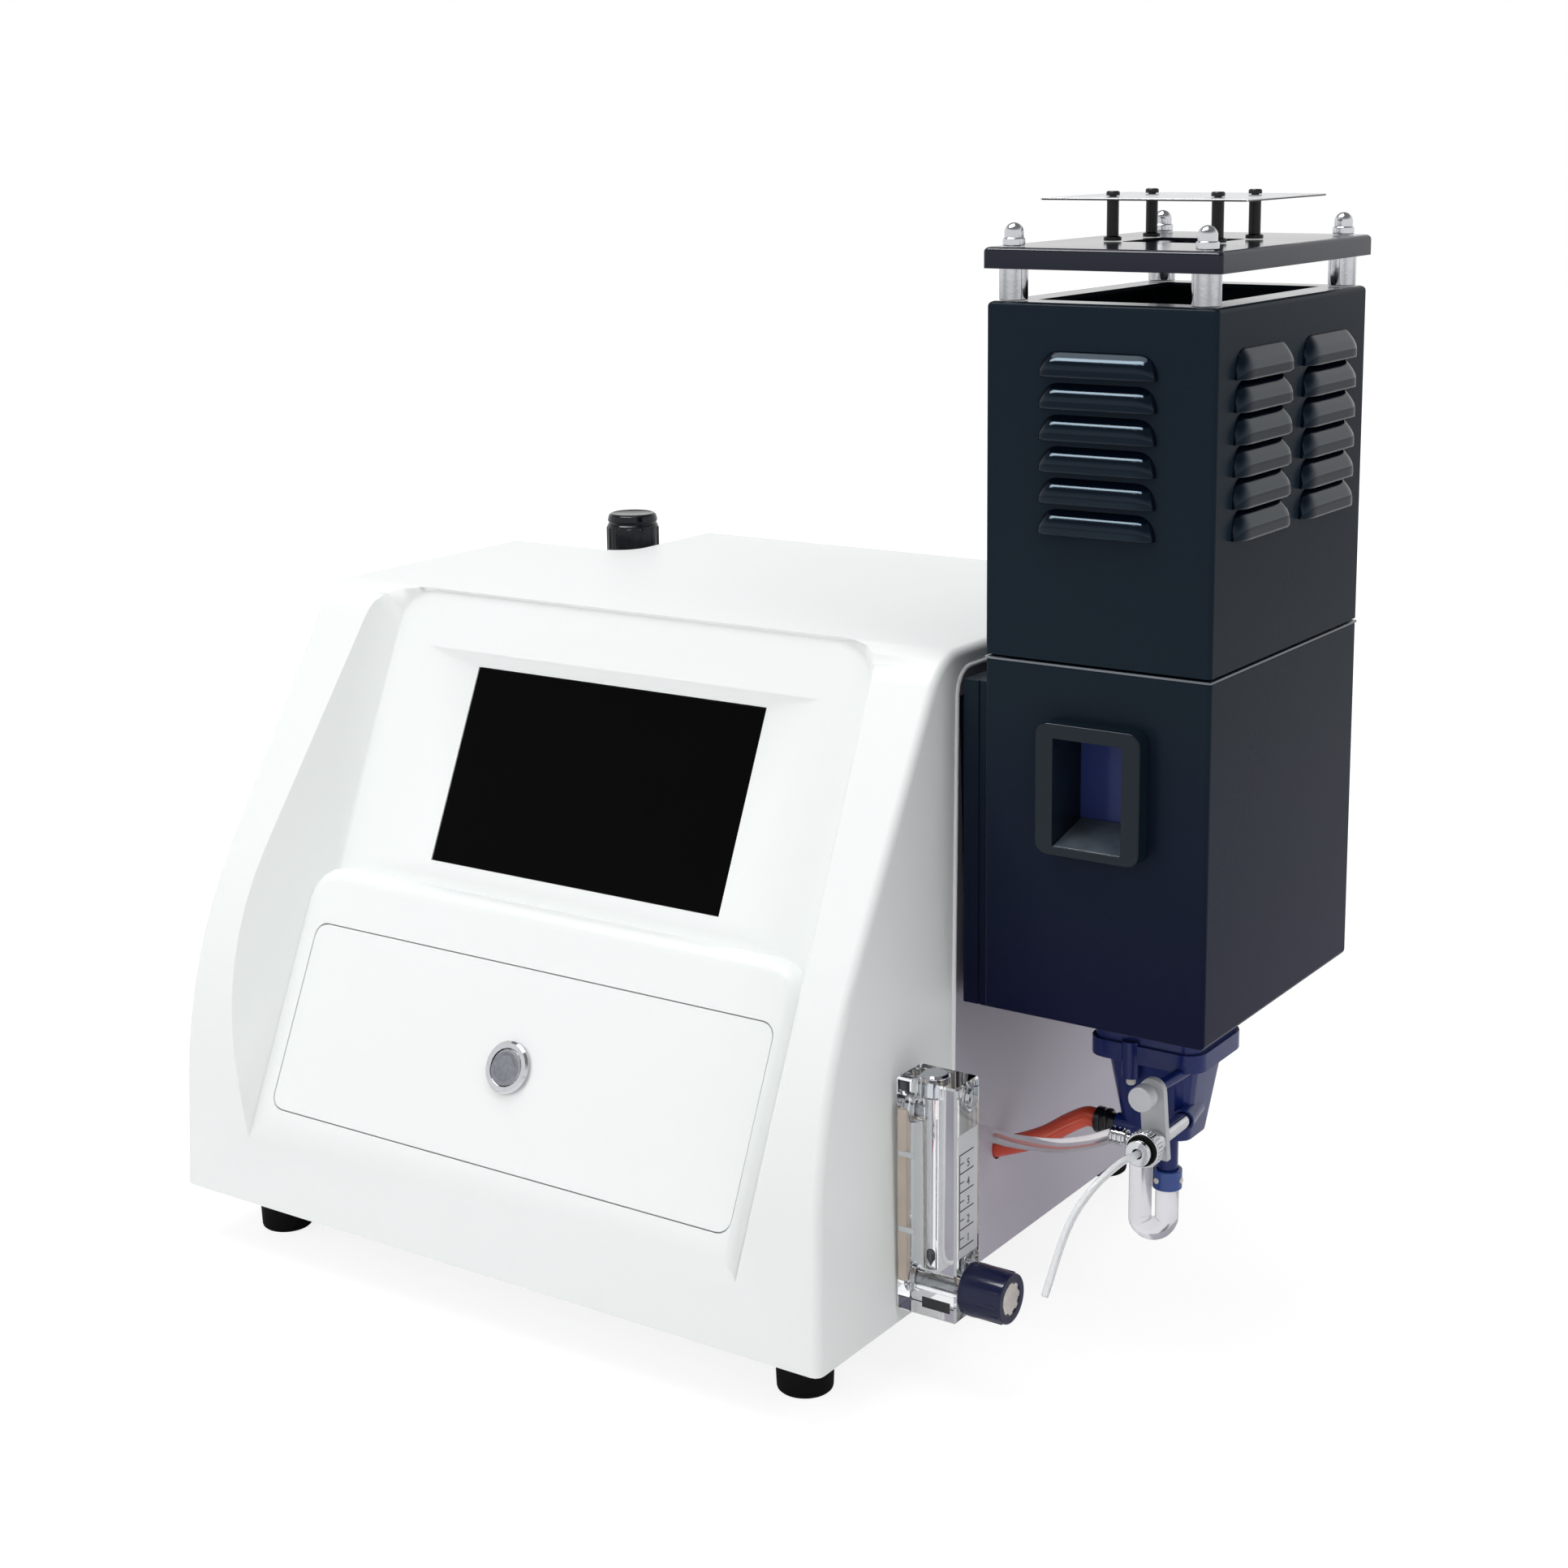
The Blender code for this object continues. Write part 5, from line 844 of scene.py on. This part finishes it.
deflector_steel = surface("deflector_steel", (0.72, 0.73, 0.75), (0.60, 0.61, 0.64), 0.24, patch=0.01,
                          change=0.12, grain=0.0004, height=0.00001, stretch=(1, 14, 1), Metallic=1.0)
skinned("deflector_plate", deflector_steel, "stainless", width=0.0002, segments=2, body="upper_chimney")
plate_low, plate_high = placed("deflector_plate")[2:]
# A thin black band round the plate's lower edge draws a dark line along it.
edge_in, edge_out = inset(plate_low, plate_high, 0.0020), inset(plate_low, plate_high, -0.0001)
dark_band = loop_box("deflector_edge", ring_loops(edge_in, edge_out, 0.001, plate_low.z, plate_low.z + 0.0005))
dress(rounded(dark_band, 0), black_plastic, "black_plastic", body="upper_chimney")


# Spray chamber and burner
# A blue moulded chamber with a flange, a pillar and a white drain pip, under a stainless burner head
# and the ceramic igniter inside the lower chimney.
blue_plastic = surface("blue_plastic", (0.0085, 0.0200, 0.135), (0.0065, 0.0155, 0.105), 0.20, patch=0.012,
                       grain=0.0007, height=0.00001, Specular_IOR_Level=0.3)
ceramic = surface("ceramic", (0.72, 0.70, 0.65), (0.62, 0.60, 0.55), 0.35, patch=0.004)
pillar = corner + Vector((0.0600, 0.1350, 0.0880))
pip_radius = 0.0019
pip_length = 0.0040
pip_drop = 0.0032
skinned("mixing_chamber", blue_plastic, "blue_plastic", width=0.0006, segments=3, limit=40)
skinned("burner_head", brushed, "stainless", width=0.0003)
skinned("igniter", ceramic, "ceramic", width=0.0002)
pip_outline = [(0, 0), (pip_radius * 0.7, 0), (pip_radius, 0.0006), (pip_radius, pip_length), (0, pip_length)]
pip = lathe("drain_pip", pip_outline, pillar - Vector((0, 0, pip_drop)), steps=24)
dress(rounded(pip, 0.0002, 2), ceramic, "ceramic")


# Nebuliser and its clamp
# A plated nebuliser in the chamber's boss, closed by a knurled nut, and held by a grey plate with a
# thumb screw.
skinned("nebuliser_body", chrome, "bright_metal", width=0.0003)
skinned("clamp_plate", grey_plastic, "grey_plastic", width=0.0005)
skinned("clamp_knob", grey_plastic, "grey_plastic", width=0.0005, body="clamp_knob")
middle, half, low, high = placed("nebuliser_nut")
nut_radius, nut_length = half.x, half.y * 2
nut_bore = 0.0021
neck_length = 0.0040
knurl_count = 28
nut_neck, nut_grip = nut_radius * 0.70, nut_radius * 0.95
nut_outline = [(nut_bore, 0), (nut_neck, 0), (nut_neck, neck_length), (nut_grip, neck_length),
               (nut_grip, nut_length), (nut_bore, nut_length), (nut_bore, 0)]
nut = lathe("nebuliser_nut_turned", nut_outline, (middle.x, low.y, middle.z), (0, 1, 0))
dress(rounded(nut, 0.0004), chrome, "bright_metal", "nebuliser_nut", body="nebuliser_nut")
knurl = block("knurl", (-0.0005, neck_length + 0.0006, nut_radius * 0.90),
              (0.0005, nut_length - 0.0006, nut_radius), 0.0003, 2)
row_of("nut_knurls", knurl, chrome, "bright_metal", (middle.x, low.y, middle.z), knurl_count,
       turn=(0, 2 * math.pi / knurl_count, 0), body="nebuliser_nut")
seal = lathe("nut_seal", [(nut_radius * 0.72, 0), (nut_radius * 0.84, 0), (nut_radius * 0.84, 0.0009),
                          (nut_radius * 0.72, 0.0009), (nut_radius * 0.72, 0)],
             (middle.x, low.y + neck_length - 0.0009, middle.z), (0, 1, 0), 48)
dress(rounded(seal, 0.0002, 2), rubber, "black_plastic", body="nebuliser_nut")


# Drain trap
# A curved clear tube holds a plug of water against the flame, clamped to the chamber's spout by a
# blue ring.
clear_tube = surface("clear_tube", (0.90, 0.90, 0.93), (0.80, 0.79, 0.84), 0.16, patch=0.010, change=0.10,
                     grain=0.003, height=0.00004, Transmission_Weight=0.80, IOR=1.40)
trap_points = [(0.066, 0.157, 0.0384), (0.066, 0.157, 0.0304), (0.066, 0.157, 0.0222),
               (0.0656, 0.1568, 0.0201), (0.0646, 0.1562, 0.0184), (0.0631, 0.1554, 0.0172),
               (0.0613, 0.1544, 0.0168), (0.0595, 0.1534, 0.0172), (0.058, 0.1526, 0.0184),
               (0.057, 0.152, 0.0201), (0.0566, 0.1518, 0.0222), (0.0566, 0.1518, 0.0338),
               (0.0566, 0.1518, 0.0455)]
trap_radius = 0.0047
trap = curve_mesh("drain_trap_tube", smooth_line(trap_points, 4), trap_radius)
dress(trap, clear_tube, "clear_tube", "drain_trap")
ring_blue = surface("ring_blue", (0.030, 0.075, 0.290), (0.024, 0.060, 0.240), 0.16, patch=0.006,
                    grain=0.0007, height=0.000004)
skinned("trap_ring", ring_blue, "blue_plastic", width=0.0004)
middle, half, low, high = placed("trap_ring")
for name, out_way in (("front", Vector((-0.353, -0.935, 0))), ("right", Vector((1, 0, 0)))):
    stud = lathe("ring_stud_" + name, [(0, 0), (0.0012, 0), (0.0012, 0.0009), (0, 0.0009)],
                 middle + out_way * (half.x - 0.0003), out_way, 24)
    dress(rounded(stud, 0.0003, 3), ceramic, "ceramic")


# Gas and air lines
# An orange gas hose with a black collet fitting, and a clear air hose, both from the side panel to
# the spray chamber.
orange = surface("orange_hose", (0.74, 0.085, 0.035), (0.62, 0.050, 0.022), 0.12, patch=0.008, change=0.06,
                 grain=0.002, height=0.00001, Specular_IOR_Level=0.7)
clear_hose = surface("clear_hose", (0.90, 0.88, 0.90), (0.78, 0.74, 0.78), 0.10, patch=0.012, change=0.08,
                     grain=0.003, height=0.00004, Transmission_Weight=0.85, IOR=1.40)
gas_points = [(-0.014, 0.1385, 0.0384), (-0.0054, 0.1385, 0.0419), (0.0032, 0.1383, 0.0454),
              (0.0117, 0.1389, 0.0489), (0.0197, 0.142, 0.0526), (0.027, 0.1445, 0.0577),
              (0.0349, 0.146, 0.0622), (0.0397, 0.146, 0.0622)]
air_points = [(-0.014, 0.117, 0.0584), (-0.0003, 0.117, 0.0584), (0.0134, 0.1165, 0.0578),
              (0.027, 0.1156, 0.0591), (0.0403, 0.114, 0.062), (0.053, 0.1121, 0.0669),
              (0.0591, 0.1114, 0.0699), (0.0652, 0.1108, 0.073), (0.0704, 0.1108, 0.073)]
gas_radius = 0.0041
air_radius = 0.0028
dress(curve_mesh("gas_hose", smooth_line(gas_points, 4), gas_radius), orange, "orange_tube", "gas_tube")
dress(curve_mesh("air_hose", smooth_line(air_points, 4), air_radius), clear_hose, "clear_tube", "air_tube")
sleeve_bead = 0.0037
sleeve_waist = 0.0032
sleeve_length = 0.0064
sleeve_pitch = 0.0020
sleeve_outline = [(air_radius, 0), (0.0035, 0)]
for i in range(3):
    sleeve_outline += [(sleeve_bead, 0.0003 + sleeve_pitch * i), (sleeve_bead, 0.0013 + sleeve_pitch * i),
                       (sleeve_waist, 0.0015 + sleeve_pitch * i), (sleeve_waist, 0.0019 + sleeve_pitch * i)]
sleeve_outline += [(sleeve_waist, sleeve_length), (air_radius, sleeve_length), (air_radius, 0)]
sleeve = lathe("air_sleeve", sleeve_outline, corner + Vector((0.0642, 0.1108, 0.0730)), (1, 0, 0), 48)
dress(rounded(sleeve, 0), chrome, "bright_metal")
middle, half, low, high = placed("gas_fitting")
fitting_radius, fitting_length = half.y, half.x * 2
fitting_neck, fitting_tail = fitting_radius * 0.82, fitting_radius * 0.74
fitting_outline = [(0, 0), (fitting_radius, 0)]
for radius, share in ((fitting_radius, 0.30), (fitting_neck, 0.34), (fitting_neck, 0.44),
                      (fitting_radius, 0.48), (fitting_radius, 0.66), (fitting_tail, 0.70),
                      (fitting_tail, 1), (0, 1)):
    fitting_outline.append((radius, fitting_length * share))
fitting = lathe("gas_fitting_turned", fitting_outline, (low.x, middle.y, middle.z), (1, 0, 0))
fitting_black = surface("fitting_black", (0.006, 0.006, 0.008), (0.011, 0.011, 0.014), 0.14, patch=0.004,
                        Specular_IOR_Level=0.55)
dress(rounded(fitting, 0.0003), fitting_black, "black_fitting", "gas_fitting")


# Flow meter
# A block of clear acrylic with a tapered bore, a black float, a plated plug and inserts, a cream
# back strip with white clips, and a scale printed on its right face.
acrylic = surface("acrylic", (0.97, 0.98, 0.99), (0.93, 0.95, 0.97), 0.02, patch=0.02, change=0.01,
                  grain=0.004, height=0.000003, Transmission_Weight=1.0, IOR=1.40)
cream = surface("cream_strip", (0.80, 0.68, 0.57), (0.70, 0.58, 0.48), 0.45, patch=0.010)
mark_black = surface("mark_black", (0.010, 0.010, 0.012), (0.020, 0.020, 0.024), 0.45, patch=0.003)
clip_white = surface("clip_white", (0.82, 0.83, 0.84), (0.74, 0.75, 0.77), 0.35, patch=0.004)
meter_low, meter_high = placed("flow_block")[2:]
meter_middle = (meter_low + meter_high) / 2
skinned("flow_block", acrylic, "clear_plastic", width=0.0002, segments=2)
for name, material, slot in (("flow_plug", chrome, "bright_metal"), ("flow_outlet", brushed, "stainless"),
                             ("valve_body", brushed, "stainless")):
    skinned(name, material, slot, 0.0003)
skinned("flow_float", black_plastic, "black_plastic", width=0.0002, body="float")
strip = block("back_strip", (meter_low.x + 0.0004, meter_low.y + 0.0008, meter_low.z + 0.012),
              (meter_low.x + 0.0042, meter_low.y + 0.0060, meter_high.z - 0.013), 0.0003)
dress(strip, cream, "ceramic")
clip = block("clip", (0, 0, -0.0012), (0.0075, 0.0012, 0.0012), 0.0005)
row_of("meter_clips", clip, clip_white, "ceramic",
       (meter_low.x + 0.0006, meter_low.y + 0.0002, meter_low.z + 0.0335), 2, (0, 0, 0.0310))
insert = lathe("meter_insert", [(0.0043, 0), (0.0058, 0), (0.0062, 0.0005), (0.0062, 0.0022),
                                (0.0056, 0.0026), (0.0056, 0.0046), (0.0043, 0.0046), (0.0043, 0)],
               (0, 0, 0), (1, 0, 0), 48)
row_of("meter_inserts", rounded(insert, 0.0002, 2), chrome, "bright_metal",
       (meter_low.x + 0.0020, meter_middle.y, corner.z + 0.0187), 2, (0, 0, 0.0693))
# A thin black sheet on the block's front face near its foot gives a dark patch there.
dark_patch = block("foot_pad", (meter_low.x + 0.0115, meter_low.y - 0.0001, meter_low.z + 0.0038),
            (meter_low.x + 0.0240, meter_low.y + 0.0004, meter_low.z + 0.0082), 0.0002)
dress(dark_patch, mark_black, "black_plastic")
mark_rise = 0.00016
mark_margin = 0.0028
mark_pitch = 0.0076
number_height = 0.0046
number_rise = 0.00008
film_plastic = surface("scale_film", (0.90, 0.90, 0.92), (0.82, 0.82, 0.86), 0.30, patch=0.01,
                       Transmission_Weight=0.45)
film = block("scale_film", (meter_high.x - 0.00002, meter_low.y + 0.0016, meter_low.z + 0.0260),
             (meter_high.x + 0.00008, meter_low.y + 0.0164, meter_low.z + 0.0760))
dress(film, film_plastic, "clear_plastic")
for name, length, half_line, count, foot in (("scale_marks", 0.0105, 0.00024, 6, 0.0300),
                                             ("scale_ticks", 0.0034, 0.00020, 5, 0.0338)):
    mark = block("mark", (0, 0, -half_line), (mark_rise, length, half_line))
    row_of(name, mark, mark_black, "black_plastic",
           (meter_high.x, meter_low.y + mark_margin, meter_low.z + foot), count, (0, 0, mark_pitch))
line = block("scale_line", (meter_high.x, meter_low.y + 0.0026, meter_low.z + 0.0298),
             (meter_high.x + mark_rise, meter_low.y + 0.0031, meter_low.z + 0.0682))
dress(line, mark_black, "black_plastic")
for number in range(1, 6):
    writing = bpy.data.curves.new("number_%d" % number, "FONT")
    writing.body = str(number)
    writing.size = number_height
    writing.extrude = number_rise
    writer = bpy.data.objects.new("number_%d" % number, writing)
    scene.collection.objects.link(writer)
    depsgraph = bpy.context.evaluated_depsgraph_get()
    bm = bmesh.new()
    bm.from_mesh(bpy.data.meshes.new_from_object(writer.evaluated_get(depsgraph)))
    bmesh.ops.remove_doubles(bm, verts=bm.verts, dist=weld / 10)
    bmesh.ops.triangulate(bm, faces=bm.faces)
    bpy.data.objects.remove(writer)
    place = Vector((meter_high.x + number_rise, meter_low.y + 0.0082,
                    meter_low.z + 0.0238 + number * mark_pitch))
    bm.transform(Matrix.Translation(place) @ Matrix(((0, 0, 1), (1, 0, 0), (0, 1, 0))).to_4x4())
    dress(piece_from(bm, "scale_number_%d" % number), mark_black, "black_plastic")


# Flow knob
# A navy moulded knob with grip ribs on the needle valve's stem, and a plated star shaped insert in
# its end.
navy = surface("navy_plastic", (0.0090, 0.0125, 0.0480), (0.0065, 0.0090, 0.0380), 0.14, patch=0.008,
               change=0.06, grain=0.0006, height=0.000006, Specular_IOR_Level=0.3)
knob_middle, knob_half, knob_low, knob_high = placed("valve_knob")
knob_radius, knob_length = knob_half.y * 0.965, knob_half.x * 2
rib_count = 12
point_count = 8
star_depth = 0.0012
knob = lathe("valve_knob_turned",
             [(0, 0), (knob_radius * 0.98, 0), (knob_radius * 1.0, knob_length * 0.2),
              (knob_radius * 0.94, knob_length), (knob_radius * 0.62, knob_length),
              (knob_radius * 0.58, knob_length - 0.0010), (0, knob_length - 0.0010)],
             (knob_low.x, knob_middle.y, knob_middle.z), (1, 0, 0))
dress(rounded(knob, 0.0008), navy, "navy_plastic", "valve_knob", body="flow_knob")
rib = block("rib", (knob_length * 0.22, -0.0007, knob_radius * 0.88),
            (knob_length * 0.93, 0.0007, knob_radius * 0.985), 0.0006)
row_of("knob_ribs", rib, navy, "navy_plastic", (knob_low.x, knob_middle.y, knob_middle.z), rib_count,
       turn=(2 * math.pi / rib_count, 0, 0), body="flow_knob")
star_metal = surface("star_metal", (0.74, 0.70, 0.66), (0.60, 0.56, 0.52), 0.28, patch=0.003, change=0.14,
                     grain=0.0005, height=0.00003, Metallic=0.75)
face = lathe("knob_face", [(0, 0), (knob_radius * 0.86, 0), (knob_radius * 0.86, 0.0006), (0, 0.0006)],
             (knob_high.x - 0.00115, knob_middle.y, knob_middle.z), (1, 0, 0), 48)
dress(rounded(face, 0.0002, 2), fitting_black, "black_plastic", body="flow_knob")
boss_outline = [(0, 0), (knob_radius * 0.56, 0), (knob_radius * 0.56, 0.0008), (knob_radius * 0.40, 0.0011),
                (0, 0.0011)]
star_place = (knob_high.x - star_depth, knob_middle.y, knob_middle.z)
boss = lathe("knob_boss", boss_outline, star_place, (1, 0, 0), 48)
dress(rounded(boss, 0.0002, 2), star_metal, "bright_metal", body="flow_knob")
point = block("star_point", (0, -0.0013, knob_radius * 0.40), (0.0009, 0.0013, knob_radius * 0.74), 0.0004)
row_of("knob_star", point, star_metal, "bright_metal", star_place, point_count,
       turn=(2 * math.pi / point_count, 0, 0), body="flow_knob")


# Filter regulator
# An aluminium body with a clear bowl in the rear notch, and a black fluted knob with a rim round
# its top, which sets the air pressure.
aluminium = surface("cast_aluminium", (0.66, 0.67, 0.69), (0.56, 0.57, 0.60), 0.38, patch=0.012, change=0.12,
                    grain=0.0008, height=0.00004, Metallic=1.0)
bowl_plastic = surface("bowl_plastic", (0.92, 0.94, 0.95), (0.86, 0.89, 0.92), 0.06, patch=0.02, change=0.03,
                       grain=0.003, height=0.00001, Transmission_Weight=0.95, IOR=1.42)
gloss_black = surface("gloss_black", (0.0040, 0.0048, 0.0080), (0.0060, 0.0070, 0.0105), 0.12, patch=0.010,
                      change=0.05, grain=0.0008, height=0.000002, Specular_IOR_Level=0.28)
skinned("regulator_body", aluminium, "turned_aluminium", width=0.0005)
skinned("filter_bowl", bowl_plastic, "clear_plastic", width=0.0006, segments=3, limit=30, sharp=60,
        body="filter_bowl")
middle, half, low, high = placed("regulator_knob")
grip = half.x * 0.955
body_height = half.z * 2
flute_count = 12
knob_outline = [(0, 0), (grip * 0.90, 0), (grip, 0.0020), (grip, body_height - 0.0060),
                (grip * 0.93, body_height - 0.0050), (grip * 0.98, body_height - 0.0036),
                (grip * 0.93, body_height - 0.0008), (grip * 0.82, body_height),
                (grip * 0.70, body_height - 0.0006), (0, body_height - 0.0010)]
knob = lathe("regulator_knob_turned", knob_outline, (middle.x, middle.y, low.z))
dress(rounded(knob, 0.0005, 3, 25), gloss_black, "black_plastic", "regulator_knob", body="pressure_knob")
flute = block("flute", (-0.0017, grip * 0.90, 0.0026), (0.0017, half.x * 0.985, body_height - 0.0066), 0.0009)
row_of("knob_flutes", flute, gloss_black, "black_plastic", (middle.x, middle.y, low.z),
       flute_count, turn=(0, 0, 2 * math.pi / flute_count), body="pressure_knob")


# Rear fittings
# A mains inlet with its rocker switch, and a brass gas inlet, in the rear panel.
brass = surface("brass", (0.62, 0.46, 0.22), (0.50, 0.36, 0.16), 0.24, patch=0.005, change=0.12, Metallic=1.0)
skinned("mains_inlet", black_plastic, "black_plastic", width=0.0004)
skinned("power_switch", gloss_black, "black_plastic", width=0.0004, body="power_rocker")
skinned("gas_inlet", brass, "brass_fitting", width=0.0003)


# Inner pieces
# The detector block behind the duct, the main circuit board and the power supply, all inside the
# closed housing.
board_green = surface("board_green", (0.03, 0.20, 0.09), (0.02, 0.15, 0.07), 0.35, patch=0.01)
skinned("optics_block", black_plastic, "black_plastic", width=0.0006)
skinned("main_board", board_green, "circuit_board", width=0.0002)
skinned("power_supply", zinc, "zinc_sheet", width=0.0006)

low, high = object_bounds()
